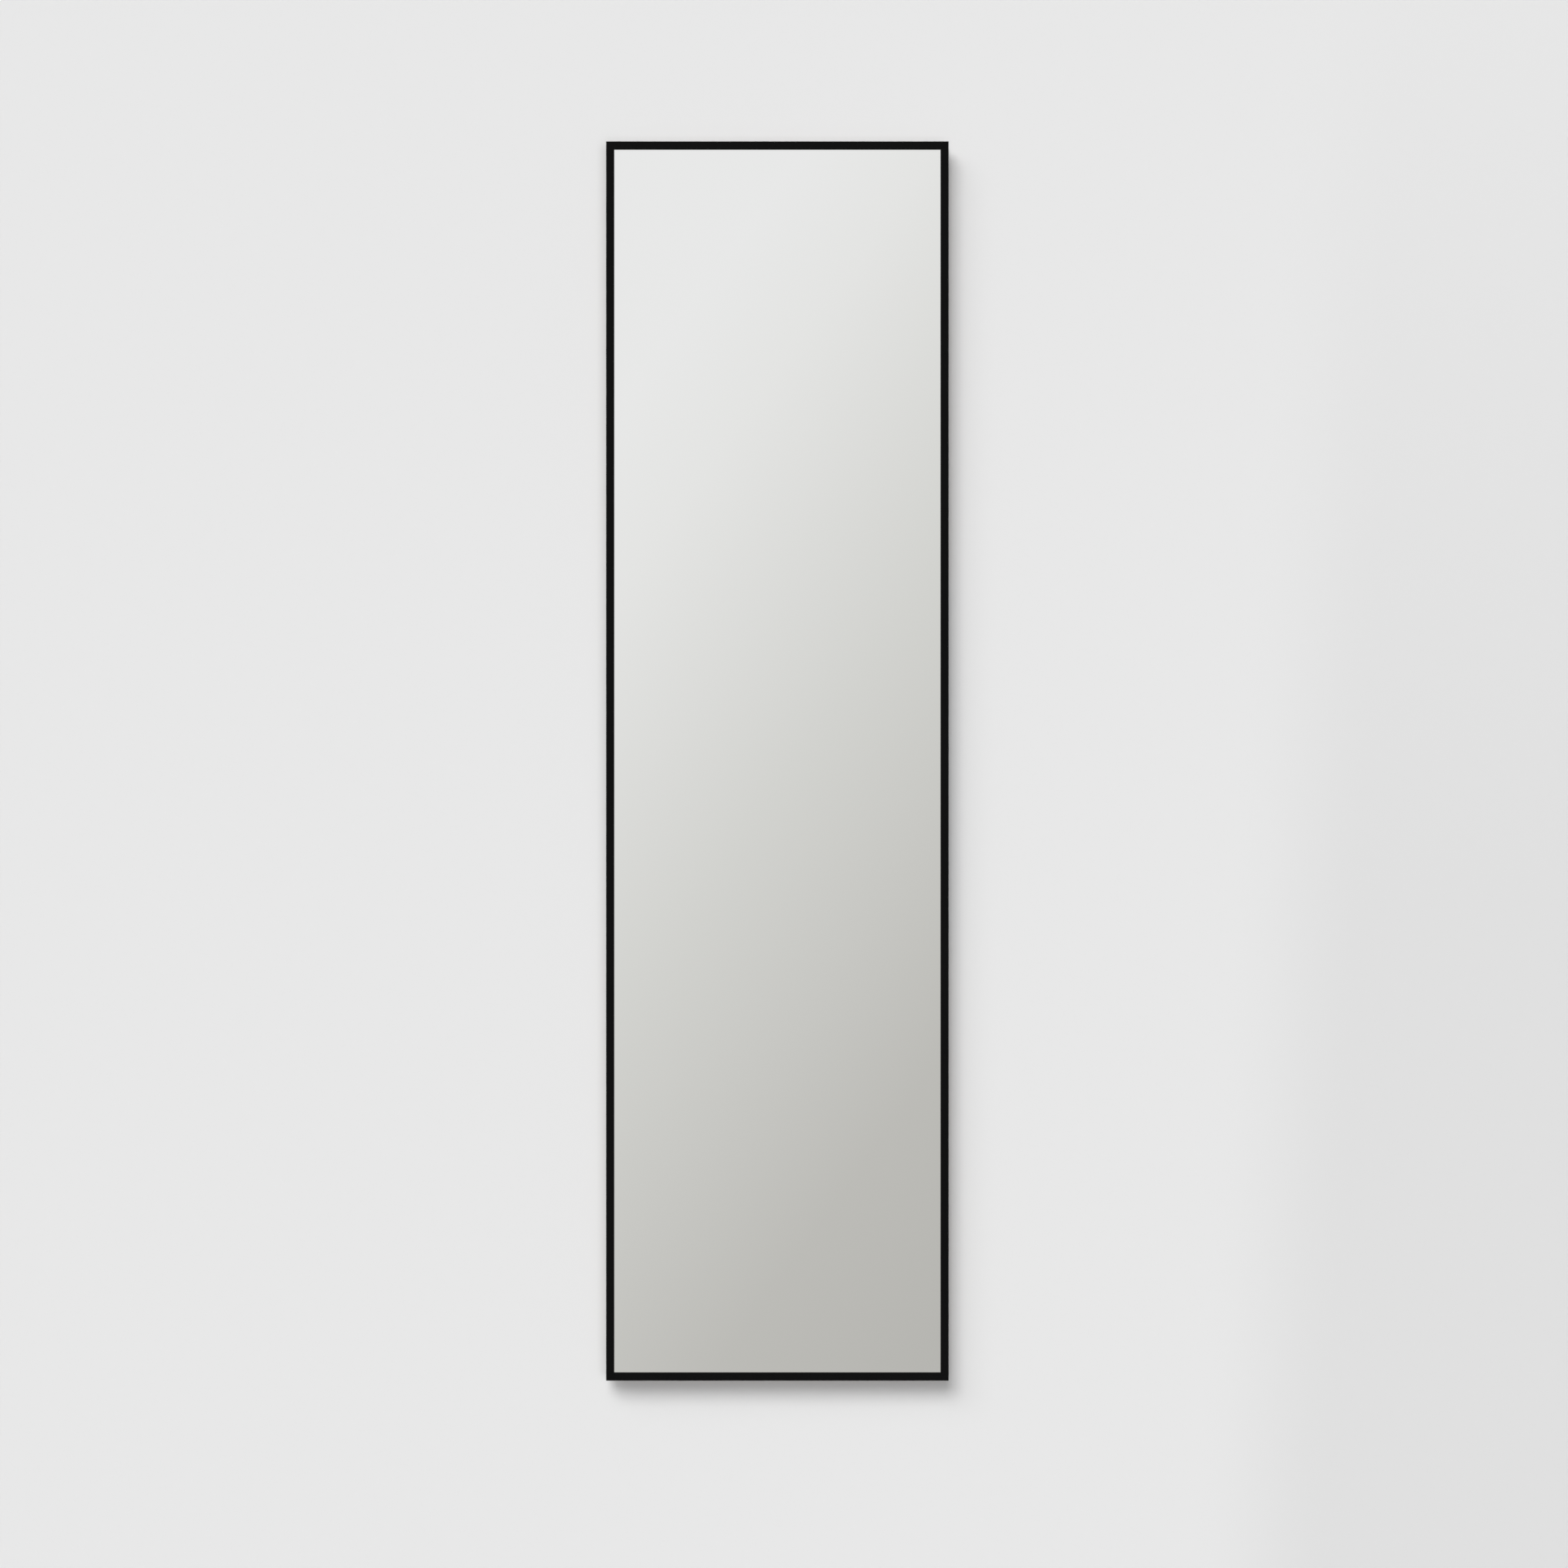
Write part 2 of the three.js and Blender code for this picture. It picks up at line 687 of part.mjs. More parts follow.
function movingMembers() {
  const group = new THREE.Group();
  for (const [end, side] of ends) {
    const runner = new THREE.Group();
    runner.position.set(memberCentre, -runnerBack, side * runnerSpacing / 2);
    runner.add(piece(`${end}_outer_ball_cage`, cageGeometry(outerCageWeb, outerRow), ballSteel));
    runner.add(piece(`${end}_middle_member`, middleMemberGeometry(), zincSteel));
    runner.add(piece(`${end}_inner_ball_cage`, cageGeometry(innerCageWeb, innerRow), ballSteel));
    runner.add(piece(`${end}_inner_member`, innerMemberGeometry(), zincSteel));
    group.add(runner);
  }
  return group;
}

function carriage() {
  const group = new THREE.Group();
  group.add(piece('carriage_bracket', carriageBracketGeometry(), coatedSteel));
  for (const [end, side] of ends) {
    carriageScrewPlaces.forEach((x, i) => {
      const name = `${end}_carriage_screw_${i + 1}`;
      const fastener = piece(name, screw(carriageScrewLength, facingRoom), zincSteel);
      fastener.position.set(x, -carriageFront, side * runnerSpacing / 2);
      group.add(fastener);
    });
    const bumper = piece(`${end}_closing_bumper`, closingBumperGeometry(), rubber);
    bumper.position.set(carriageTail + bumperFromTail, 0, side * bumperSpacing / 2);
    group.add(bumper);
    const hinge = new THREE.Group();
    hinge.position.set(pivotX, -pivotDepth, side * hingeLevel);
    hinge.add(piece(`${end}_hinge_pin`, hingePinGeometry(), zincSteel));
    hinge.add(piece(`${end}_pin_clip`, pinClipGeometry(), zincSteel));
    group.add(hinge);
  }
  return group;
}

function frameAndKeys() {
  const group = new THREE.Group();
  const sides = [
    ['left_stile', panelHeight, panelWidth],
    ['top_rail', panelWidth, panelHeight],
    ['right_stile', panelHeight, panelWidth],
    ['bottom_rail', panelWidth, panelHeight],
  ];
  const corners = [
    ['lower_left_corner_key', -1, -1],
    ['upper_left_corner_key', -1, 1],
    ['upper_right_corner_key', 1, 1],
    ['lower_right_corner_key', 1, -1],
  ];
  sides.forEach(([name, length, across], i) => {
    const side = piece(name, frameSideGeometry(length, across), frameBlack);
    side.rotation.y = i * Math.PI / 2;
    group.add(side);
  });
  corners.forEach(([name, x, z], i) => {
    const key = piece(name, cornerKeyGeometry(), castKey);
    key.rotation.y = i * Math.PI / 2;
    key.position.set(x * panelWidth / 2, 0, z * panelHeight / 2);
    group.add(key);
  });
  return group;
}

function springClips() {
  const group = new THREE.Group();
  const inset = frameWall + fitGap + clipWidth / 2;
  for (const [end, side] of ends) {
    const clip = piece(`${end}_rail_spring_clip`, springClipGeometry(), zincSteel);
    clip.position.z = side * (panelHeight / 2 - inset);
    group.add(clip);
  }
  for (const [hand, side] of [['left', -1], ['right', 1]]) {
    stileClipShares.forEach((share, i) => {
      const clip = piece(`${hand}_stile_spring_clip_${i + 1}`, springClipGeometry(), zincSteel);
      clip.rotation.y = Math.PI / 2;
      clip.position.set(side * (panelWidth / 2 - inset), 0, share * panelHeight);
      group.add(clip);
    });
  }
  return group;
}

function panelHinges() {
  const group = new THREE.Group();
  for (const [end, side] of ends) {
    const level = new THREE.Group();
    level.position.z = side * hingeLevel;
    level.add(piece(`${end}_cross_bar`, crossBarGeometry(), castKey));
    level.add(piece(`${end}_hinge_strap`, hingeStrapGeometry(), coatedSteel));
    strapScrewSetbacks.forEach((setback, i) => {
      const fastener = piece(`${end}_strap_screw_${i + 1}`, screw(strapScrewLength, facingWall), zincSteel);
      fastener.position.set(pivotInPanel - setback, -strapScrewDepth(), 0);
      level.add(fastener);
    });
    for (const [place, turn] of [['top', 0], ['bottom', Math.PI]]) {
      const bush = piece(`${end}_eye_${place}_bush`, hingeBushGeometry(), nylon);
      bush.position.set(pivotInPanel, -pivotDepth, 0);
      bush.rotation.x = turn;
      level.add(bush);
    }
    group.add(level);
  }
  return group;
}

// The panel hangs by its pivot, which is measured from its leading edge.
function mirrorPanel() {
  const group = new THREE.Group();
  group.position.x = pivotX - pivotInPanel;
  group.add(piece('mirror_glass', panelSlabGeometry(glassFront, glassThickness), mirrorFace));
  group.add(piece('backing_board', panelSlabGeometry(boardFront, boardThickness), hardboard));
  group.add(frameAndKeys());
  group.add(springClips());
  group.add(panelHinges());
  return group;
}

const mirror = new THREE.Group();
mirror.add(fixedSide());
mirror.add(movingMembers());
mirror.add(carriage());
mirror.add(mirrorPanel());

export default mirror;
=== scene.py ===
import json
import math

import bmesh
import bpy
from mathutils import Matrix, Vector


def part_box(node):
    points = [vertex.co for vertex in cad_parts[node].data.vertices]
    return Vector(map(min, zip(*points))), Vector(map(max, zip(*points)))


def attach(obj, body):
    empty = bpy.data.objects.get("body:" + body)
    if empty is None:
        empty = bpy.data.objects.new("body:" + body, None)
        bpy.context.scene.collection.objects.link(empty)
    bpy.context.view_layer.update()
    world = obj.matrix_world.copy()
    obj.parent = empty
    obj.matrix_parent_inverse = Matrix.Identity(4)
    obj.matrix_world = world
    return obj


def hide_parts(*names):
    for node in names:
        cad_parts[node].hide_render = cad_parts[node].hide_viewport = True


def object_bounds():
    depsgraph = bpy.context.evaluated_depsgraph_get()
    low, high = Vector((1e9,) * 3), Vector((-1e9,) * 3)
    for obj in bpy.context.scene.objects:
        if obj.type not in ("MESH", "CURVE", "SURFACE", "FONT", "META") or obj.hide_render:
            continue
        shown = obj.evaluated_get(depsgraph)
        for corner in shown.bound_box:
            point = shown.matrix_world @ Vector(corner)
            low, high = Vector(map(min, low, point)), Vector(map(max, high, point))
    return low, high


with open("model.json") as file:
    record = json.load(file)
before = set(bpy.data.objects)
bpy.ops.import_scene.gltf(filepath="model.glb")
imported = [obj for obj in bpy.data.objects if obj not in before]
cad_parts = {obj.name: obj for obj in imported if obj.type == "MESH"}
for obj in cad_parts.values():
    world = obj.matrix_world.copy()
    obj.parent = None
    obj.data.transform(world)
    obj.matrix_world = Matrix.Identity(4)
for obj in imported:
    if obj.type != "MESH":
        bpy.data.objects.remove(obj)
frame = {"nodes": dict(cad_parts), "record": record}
cad_low, cad_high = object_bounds()

# Camera
# The photograph was taken straight on and from far off, with the mirror a little left of the
# picture's middle and a little above it.
view_width = 1.6295
view_lens = 100
sensor_width = 36
right_of_mirror = 0.00687
below_mirror = 0.02387

camera_data = bpy.data.cameras.new("camera")
camera_data.lens = view_lens
camera_data.sensor_width = sensor_width
camera = bpy.data.objects.new("camera", camera_data)
camera_distance = view_width * view_lens / sensor_width
camera.location = (right_of_mirror, cad_low.y - camera_distance, -below_mirror)
camera.rotation_euler = (math.pi / 2, 0, 0)
bpy.context.scene.collection.objects.link(camera)
bpy.context.scene.camera = camera

# Wall and floor
# The mirror hangs on a pale wall, with painted shade towards its lower right, above a plain pale
# floor. Both are there from the room's side only, so that the mirror's back can be looked at too.
stage_width = 12
wall_height = 7
floor_drop = 0.5
wall_behind_plate = 0.0003
floor_glow_share = 0.72
# Where the wall's painted shade begins and ends across, how it leans, and how far it reaches up and
# down.
painted_shade_starts = 0.477
painted_shade_ends = 0.627
painted_shade_lean = 0.055
painted_shade_bottom = -0.15
painted_shade_top = 0.95


def display(red, green, blue):
    """A colour given in the 0 to 255 values that a screen shows."""
    def linear(value):
        share = value / 255
        return share / 12.92 if share <= 0.04045 else ((share + 0.055) / 1.055) ** 2.4
    return (linear(red), linear(green), linear(blue), 1)


def node(tree, kind, inputs=None, **settings):
    """A node whose inputs are either plain values or other nodes' outputs."""
    made = tree.nodes.new(f"ShaderNode{kind}")
    for name, value in settings.items():
        setattr(made, name, value)
    for name, value in (inputs or {}).items():
        if isinstance(value, bpy.types.NodeSocket):
            tree.links.new(value, made.inputs[name])
        else:
            made.inputs[name].default_value = value
    return made


def bare_material(name):
    """A material whose nodes are all still to be placed."""
    material = bpy.data.materials.new(name)
    material.use_nodes = True
    material.node_tree.nodes.clear()
    return material, material.node_tree


def seen_or_mirrored(tree):
    """1 for rays that show the background, straight, mirrored or through glass."""
    path = node(tree, "LightPath")
    seen = node(tree, "Math", {0: path.outputs["Is Camera Ray"], 1: path.outputs["Is Glossy Ray"]},
                operation="MAXIMUM")
    both = node(tree, "Math", {0: seen.outputs[0], 1: path.outputs["Is Transmission Ray"]},
                operation="MAXIMUM")
    return both.outputs[0], path


def stage_finish(name, tone, painted_shade_tone, glow_share, lets_lamps_through):
    """A plain tone with painted shade, which darkens it to another tone towards the lower right."""
    material, tree = bare_material(name)
    shown, path = seen_or_mirrored(tree)
    place = node(tree, "SeparateXYZ", {0: node(tree, "TexCoord").outputs["Object"]}).outputs
    # Painted shade: towards the lower right the colour darkens from the plain tone to the shaded one.
    leant = node(tree, "Math", {0: place["Z"], 1: -painted_shade_lean, 2: place["X"]},
                 operation="MULTIPLY_ADD").outputs[0]
    across = node(tree, "MapRange", {"Value": leant, "From Min": painted_shade_starts, "From Max": painted_shade_ends},
                  interpolation_type="SMOOTHSTEP")
    down = node(tree, "MapRange", {"Value": place["Z"], "From Min": painted_shade_top, "From Max": painted_shade_bottom})
    painted_shade = node(tree, "Math", {0: across.outputs[0], 1: down.outputs[0]}, operation="MULTIPLY")
    colour = node(tree, "Mix", {0: painted_shade.outputs[0], 6: tone, 7: painted_shade_tone}, data_type="RGBA").outputs[2]
    plain = node(tree, "BsdfPrincipled", {"Base Color": colour, "Roughness": 1, "Specular IOR Level": 0})
    glow = node(tree, "Emission", {"Color": colour, "Strength": 1})
    share = node(tree, "Math", {0: shown, 1: glow_share}, operation="MULTIPLY")
    front = node(tree, "MixShader", {0: share.outputs[0], 1: plain.outputs[0], 2: glow.outputs[0]})
    gone = node(tree, "NewGeometry").outputs["Backfacing"]
    if lets_lamps_through:
        passing = path.outputs["Is Shadow Ray"]
        gone = node(tree, "Math", {0: gone, 1: passing}, operation="MAXIMUM").outputs[0]
    clear = node(tree, "BsdfTransparent")
    both = node(tree, "MixShader", {0: gone, 1: front.outputs[0], 2: clear.outputs[0]})
    node(tree, "OutputMaterial", {"Surface": both.outputs[0]})
    return material


def stage_sheet(name, width, length, turn, place, material):
    """A flat sheet of the stage, turned about X and then put in its place."""
    sheet_mesh = bmesh.new()
    bmesh.ops.create_grid(sheet_mesh, x_segments=1, y_segments=1, size=0.5)
    bmesh.ops.scale(sheet_mesh, vec=(width, length, 1), verts=sheet_mesh.verts)
    bmesh.ops.rotate(sheet_mesh, matrix=Matrix.Rotation(turn, 3, "X"), verts=sheet_mesh.verts)
    bmesh.ops.translate(sheet_mesh, vec=place, verts=sheet_mesh.verts)
    mesh = bpy.data.meshes.new(name)
    sheet_mesh.to_mesh(mesh)
    sheet_mesh.free()
    mesh.materials.append(material)
    sheet_object = bpy.data.objects.new(name, mesh)
    bpy.context.scene.collection.objects.link(sheet_object)
    return sheet_object


wall_tone = display(232, 232, 232)
# Painted shade: the darker tone that the wall takes at its lower right.
painted_shade_wall_tone = display(224, 224, 224)
floor_level = cad_low.z - floor_drop
stage_sheet("wall", stage_width, wall_height, math.pi / 2,
            (0, cad_high.y + wall_behind_plate, floor_level + wall_height / 2),
            stage_finish("pale_wall", wall_tone, painted_shade_wall_tone, glow_share=0, lets_lamps_through=True))
floor = stage_sheet("floor", stage_width, stage_width, 0, (0, 0, floor_level),
                    stage_finish("pale_floor", wall_tone, wall_tone, glow_share=floor_glow_share,
                                 lets_lamps_through=False))
floor.visible_diffuse = False
floor.visible_shadow = False

# Painted reflection in the mirror
# What stands opposite is a glowing sheet seen only in the glass, a painted reflection: a pale surface
# whose light drops from the upper left to the lower right. Its tones are those of the glass, by how far
# along that slope they lie.
room_distance = 3.0
room_width = 16
room_height = 9
fall_angle = math.radians(36)
fall_reach = 0.5
silver_share = 0.94
painted_reflection_tones = [
    (0.15, display(232, 232, 232)),
    (0.26, display(228, 228, 227)),
    (0.52, display(210, 210, 207)),
    (0.82, display(188, 187, 183)),
    (1.00, display(182, 181, 177)),
]


def painted_reflection_light():
    """The painted reflection's tone at each place, by where the camera finds that place in the glass."""
    material, tree = bare_material("painted_reflection_light")
    glass_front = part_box("mirror_glass")[0].y
    eye = camera.location
    spread = (glass_front - eye.y + room_distance + glass_front) / (glass_front - eye.y)
    along = (math.cos(fall_angle) / spread, 0, -math.sin(fall_angle) / spread)
    place = node(tree, "TexCoord").outputs["Object"]
    shifted = node(tree, "VectorMath", {0: place, 1: eye * (spread - 1)}, operation="ADD")
    fallen = node(tree, "VectorMath", {0: shifted.outputs[0], 1: along}, operation="DOT_PRODUCT")
    share = node(tree, "MapRange", {"Value": fallen.outputs["Value"],
                                    "From Min": -fall_reach, "From Max": fall_reach})
    ramp = node(tree, "ValToRGB", {"Fac": share.outputs[0]})
    stops = ramp.color_ramp.elements
    for position, tone in painted_reflection_tones[1:-1]:
        stops.new(position)
    for stop, (position, tone) in zip(stops, painted_reflection_tones):
        stop.position = position
        stop.color = tone
    light = node(tree, "Emission", {"Color": ramp.outputs["Color"], "Strength": 1 / silver_share})
    node(tree, "OutputMaterial", {"Surface": light.outputs[0]})
    return material


# Painted reflection: the sheet glows only for rays that glass and metal reflect; it lights nothing and
# casts no shadow.
room = stage_sheet("room", room_width, room_height, -math.pi / 2,
                   (0, -room_distance, floor_level + room_height / 2), painted_reflection_light())
room.visible_camera = False
room.visible_diffuse = False
room.visible_transmission = False
room.visible_volume_scatter = False
room.visible_shadow = False

# Lamps
# Three broad soft lamps stand in front, two of them high and to the left. Two more behind the wall,
# which lets their light through, light the mirror's back. The world adds a little from all round.
ambient_share = 0.05
mirrored_low = (0.42, 0.42, 0.42, 1)
mirrored_high = (0.95, 0.95, 0.95, 1)
low_slope = -0.1
high_slope = 0.8


def soft_lamp(name, towards, spread, share, mirrored):
    """A distant lamp, with the share of full light that it gives a surface facing along Y."""
    lamp_data = bpy.data.lights.new(name, "SUN")
    direction = Vector(towards).normalized()
    lamp_data.energy = share * math.pi / abs(direction.y)
    lamp_data.angle = spread
    lamp = bpy.data.objects.new(name, lamp_data)
    lamp.rotation_euler = direction.to_track_quat("Z", "Y").to_euler()
    lamp.visible_glossy = mirrored
    bpy.context.scene.collection.objects.link(lamp)
    return lamp_data


soft_lamp("left_lamp", towards=(-0.77, -1, 0.82), spread=math.radians(32), share=0.12, mirrored=True)
soft_lamp("upper_lamp", towards=(-0.215, -1, 0.57), spread=math.radians(31), share=0.46, mirrored=False)
soft_lamp("front_lamp", towards=(0.09, -1, -0.06), spread=math.radians(33), share=0.37, mirrored=False)
rear_lamps = [("rear_lamp", (0.5, 1, 0.5), 0.55), ("far_rear_lamp", (-0.8, 1, 0.15), 0.3)]
for name, towards, share in rear_lamps:
    rear_data = soft_lamp(name, towards, spread=math.radians(40), share=share, mirrored=False)
    rear_data.cycles.use_multiple_importance_sampling = False

world = bpy.data.worlds.new("studio")
bpy.context.scene.world = world
world.use_nodes = True
sky = world.node_tree
sky.nodes.clear()
shown, path = seen_or_mirrored(sky)
slope = node(sky, "SeparateXYZ", {0: node(sky, "TexCoord").outputs["Generated"]}).outputs["Z"]
height = node(sky, "MapRange", {"Value": slope, "From Min": low_slope, "From Max": high_slope})
overhead = node(sky, "Mix", {0: height.outputs[0], 6: mirrored_low, 7: mirrored_high}, data_type="RGBA")
mirrored = node(sky, "Mix", {0: path.outputs["Is Glossy Ray"], 6: wall_tone, 7: overhead.outputs[2]},
                data_type="RGBA")
background = node(sky, "Background", {"Color": mirrored.outputs[2], "Strength": 1})
ambient = node(sky, "Background", {"Color": (1, 1, 1, 1), "Strength": ambient_share})
either = node(sky, "MixShader", {0: shown, 1: ambient.outputs[0], 2: background.outputs[0]})
node(sky, "OutputWorld", {"Surface": either.outputs[0]})

# Mounting plate
# A pressed steel plate with its two long edges turned up, punched and countersunk for six wall
# screws and for the rivets that hold the runners, then coated in black.
plate_edge = 0.00025
wall_hole_from_side = 0.020
wall_hole_from_edge = 0.010
wall_hole_reach = 0.006
longest_ring_side = 0.0025
like_sides_share = 0.1
same_place = 1e-6
worn_coat_polish = 0.15
plate_black = (0.0085, 0.0085, 0.0092, 1)
plate_black_fleck = (0.0215, 0.0215, 0.0222, 1)
bare_edge_grey = (0.07, 0.07, 0.072, 1)
dust_grey = (0.19, 0.185, 0.175, 1)
record = frame["record"]
body_of = {part: body for body, parts in record["behaviour"]["bodies"].items() for part in parts}


def break_edges(shape, width, segments=2, sharper_than=math.radians(32), kept_sharp=()):
    """Bevels the sharp edges of a bmesh, apart from those to be kept, and marks the faces made."""
    worn = shape.faces.layers.float.get("worn") or shape.faces.layers.float.new("worn")
    sharp = [edge for edge in shape.edges if edge.calc_face_angle(0) > sharper_than]
    for edge in sharp:
        edge.smooth = edge not in kept_sharp
    sharp = [edge for edge in sharp if edge.smooth]
    made = bmesh.ops.bevel(shape, geom=sharp, offset=width, offset_type="OFFSET", segments=segments,
                           affect="EDGES", profile=0.5, material=-1, clamp_overlap=True)
    for face in made["faces"]:
        face[worn] = 1


def finished_piece(name, shape):
    """Turns a bmesh into an object with even shading over its flats and bends."""
    for face in shape.faces:
        face.smooth = True
    mesh = bpy.data.meshes.new(name)
    shape.to_mesh(mesh)
    shape.free()
    made = bpy.data.objects.new(name, mesh)
    bpy.context.scene.collection.objects.link(made)
    even = made.modifiers.new("even_shading", "WEIGHTED_NORMAL")
    even.keep_sharp = True
    return made


def stands_for(made, part, material):
    """Gives a piece its finish, and the body and slot of the part that it stands for."""
    made.data.materials.clear()
    made.data.materials.append(material)
    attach(made, body_of[part])
    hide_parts(part)
    return made


def merged_copy(part):
    """A copy of a part's solid with its flats in one piece."""
    shape = bmesh.new()
    shape.from_mesh(frame["nodes"][part].data)
    bmesh.ops.remove_doubles(shape, verts=shape.verts, dist=same_place)
    bmesh.ops.dissolve_limit(shape, angle_limit=math.radians(1), verts=shape.verts, edges=shape.edges)
    return shape


def faces_wall_alike(edge):
    """Whether both ends of an edge lie equally far from the wall."""
    return abs(edge.verts[0].co.y - edge.verts[1].co.y) < same_place


def punched_rings(shape):
    """The rims of punched holes, which stay crisp: each side meets a like one at both its ends."""
    sides = {edge: edge.calc_length() for edge in shape.edges
             if faces_wall_alike(edge) and edge.calc_length() < longest_ring_side}

    def meets_like(edge, vert):
        return any(math.isclose(sides.get(other, 0), sides[edge], rel_tol=like_sides_share)
                   for other in vert.link_edges if other is not edge)

    return {edge for edge in sides if all(meets_like(edge, vert) for vert in edge.verts)}


def dressed(part, edge):
    """A copy of a part's solid with its edges broken."""
    shape = merged_copy(part)
    break_edges(shape, edge, kept_sharp=punched_rings(shape))
    return finished_piece(f"{part}_dressed", shape)


def rounded(shape, centre, reach, sides=3):
    """Gives each side of a punched hole's two rings more sides, with their corners on the circle."""
    def outwards(vert):
        return Vector((vert.co.x - centre.x, 0, vert.co.z - centre.z))

    def far_apart(first, second):
        return (outwards(first).normalized() - outwards(second).normalized()).length

    rings = [edge for edge in shape.edges if faces_wall_alike(edge)
             and max(outwards(vert).length for vert in edge.verts) < reach]
    middle = sum(edge.verts[0].co.y for edge in rings) / len(rings)
    ring_radius = {edge.verts[0].co.y > middle: outwards(edge.verts[0]).length for edge in rings}
    split = bmesh.ops.bisect_edges(shape, edges=rings, cuts=sides - 1)["geom_split"]
    corners = [item for item in split
               if isinstance(item, bmesh.types.BMVert) and len(item.link_edges) == 2]
    for corner in corners:
        place = centre + outwards(corner).normalized() * ring_radius[corner.co.y > middle]
        corner.co.x = place.x
        corner.co.z = place.z
    behind = [corner for corner in corners if corner.co.y > middle]
    for front in [corner for corner in corners if corner.co.y < middle]:
        back = min(behind, key=lambda corner: far_apart(front, corner))
        wall = next(face for face in front.link_faces if face in list(back.link_faces))
        bmesh.utils.face_split(wall, front, back)


def shader_group(name, inputs, outputs):
    """An empty node group with number inputs, each with its usual value, and number outputs."""
    group = bpy.data.node_groups.new(name, "ShaderNodeTree")
    for label, value in inputs.items():
        socket = group.interface.new_socket(label, in_out="INPUT", socket_type="NodeSocketFloat")
        socket.default_value = value
    for label in outputs:
        group.interface.new_socket(label, in_out="OUTPUT", socket_type="NodeSocketFloat")
    entry = group.nodes.new("NodeGroupInput")
    leave = group.nodes.new("NodeGroupOutput")
    return group, entry.outputs, leave


def finish_outputs(group, leave, results):
    """Links a node group's results to its outputs by their names."""
    for label, socket in results.items():
        group.links.new(socket, leave.inputs[label])


def noise(tree, place, scale, detail=2, roughness=0.5, distortion=0):
    """An uneven value that changes from place to place."""
    return node(tree, "TexNoise", {"Vector": place, "Scale": scale, "Detail": detail,
                                   "Roughness": roughness, "Distortion": distortion}).outputs[0]


def math_of(tree, operation, *values, clamp=False):
    """What a Math node makes of plain values or other nodes' outputs."""
    return node(tree, "Math", dict(enumerate(values)), operation=operation, use_clamp=clamp).outputs[0]


def weighed(tree, first, first_share, second):
    """The sum of two values, the first of which counts for a given share."""
    return math_of(tree, "ADD", math_of(tree, "MULTIPLY", first, first_share),
                   math_of(tree, "MULTIPLY", second, 1 - first_share))


def between(tree, value, low, high, to_low=0, to_high=1):
    """A value taken smoothly from one range to another."""
    return node(tree, "MapRange", {"Value": value, "From Min": low, "From Max": high, "To Min": to_low,
                                   "To Max": to_high}, interpolation_type="SMOOTHSTEP").outputs[0]


def mixed(tree, share, first, second):
    """The first colour, with this share of the second."""
    return node(tree, "Mix", {0: share, 6: first, 7: second}, data_type="RGBA").outputs[2]


def surface_skin_group():
    """The skin of a coat, paint or moulding: a fine grain over long, low orange-peel waves, and
    broad uneven clouds."""
    group, entry, leave = shader_group("surface_skin", {"Grain": 2200, "Peel": 260, "Clouds": 9},
                                       ["Height", "Cloud", "Fleck"])
    place = node(group, "TexCoord").outputs["Object"]
    grain = noise(group, place, entry["Grain"], 3, 0.6)
    peel = noise(group, place, entry["Peel"], 1)
    height = weighed(group, grain, 0.45, peel)
    cloud = between(group, noise(group, place, entry["Clouds"], 4, 0.6), 0.37, 0.68)
    fleck = between(group, grain, 0.42, 0.7)
    finish_outputs(group, leave, {"Height": height, "Cloud": cloud, "Fleck": fleck})
    return group


def edge_wear_group():
    """Where a coat is rubbed thin: along broken edges, in uneven patches."""
    group, entry, leave = shader_group("edge_wear", {"Amount": 0.5}, ["Mask"])
    place = node(group, "TexCoord").outputs["Object"]
    edge = node(group, "Attribute", attribute_name="worn").outputs["Fac"]
    patches = between(group, noise(group, place, 70, 4, 0.65), 0.42, 0.62)
    mask = math_of(group, "MULTIPLY", math_of(group, "MULTIPLY", edge, patches), entry["Amount"])
    finish_outputs(group, leave, {"Mask": mask})
    return group


def dust_group():
    """Fine dust that settles on faces that look up, and a trace of it everywhere."""
    group, entry, leave = shader_group("settled_dust", {"Amount": 0.3}, ["Mask"])
    place = node(group, "TexCoord").outputs["Object"]
    facing = node(group, "SeparateXYZ", {0: node(group, "TexCoord").outputs["Normal"]}).outputs["Z"]
    upward = between(group, facing, 0.2, 0.95, 0.04, 1)
    specks = between(group, noise(group, place, 420, 5, 0.7), 0.4, 0.66)
    patches = between(group, noise(group, place, 14, 2), 0.3, 0.7, 0.4, 1)
    spread = math_of(group, "MULTIPLY", math_of(group, "MULTIPLY", upward, specks), patches)
    finish_outputs(group, leave, {"Mask": math_of(group, "MULTIPLY", spread, entry["Amount"])})
    return group


surface_skin = surface_skin_group()
edge_wear = edge_wear_group()
settled_dust = dust_group()


def black_coat(name, dark, light, rough_low, rough_high, shine, grain, grain_depth, wear, dust):
    """A black baked coat on metal, clouded, rubbed thin along its edges and dusty on top."""
    material, tree = bare_material(name)
    skin = node(tree, "Group", {"Grain": grain}, node_tree=surface_skin).outputs
    rubbed = node(tree, "Group", {"Amount": wear}, node_tree=edge_wear).outputs["Mask"]
    dusty = node(tree, "Group", {"Amount": dust}, node_tree=settled_dust).outputs["Mask"]
    clouded = mixed(tree, weighed(tree, skin["Cloud"], 0.35, skin["Fleck"]), dark, light)
    colour = mixed(tree, dusty, mixed(tree, rubbed, clouded, bare_edge_grey), dust_grey)
    rough = between(tree, skin["Cloud"], 0, 1, rough_low, rough_high)
    rough = math_of(tree, "SUBTRACT", rough, math_of(tree, "MULTIPLY", rubbed, worn_coat_polish))
    bump = node(tree, "Bump", {"Height": skin["Height"], "Strength": 1, "Distance": grain_depth})
    coat = node(tree, "BsdfPrincipled", {"Base Color": colour, "Roughness": rough,
                                         "Specular IOR Level": shine, "Normal": bump.outputs[0]})
    node(tree, "OutputMaterial", {"Surface": coat.outputs[0]})
    return material


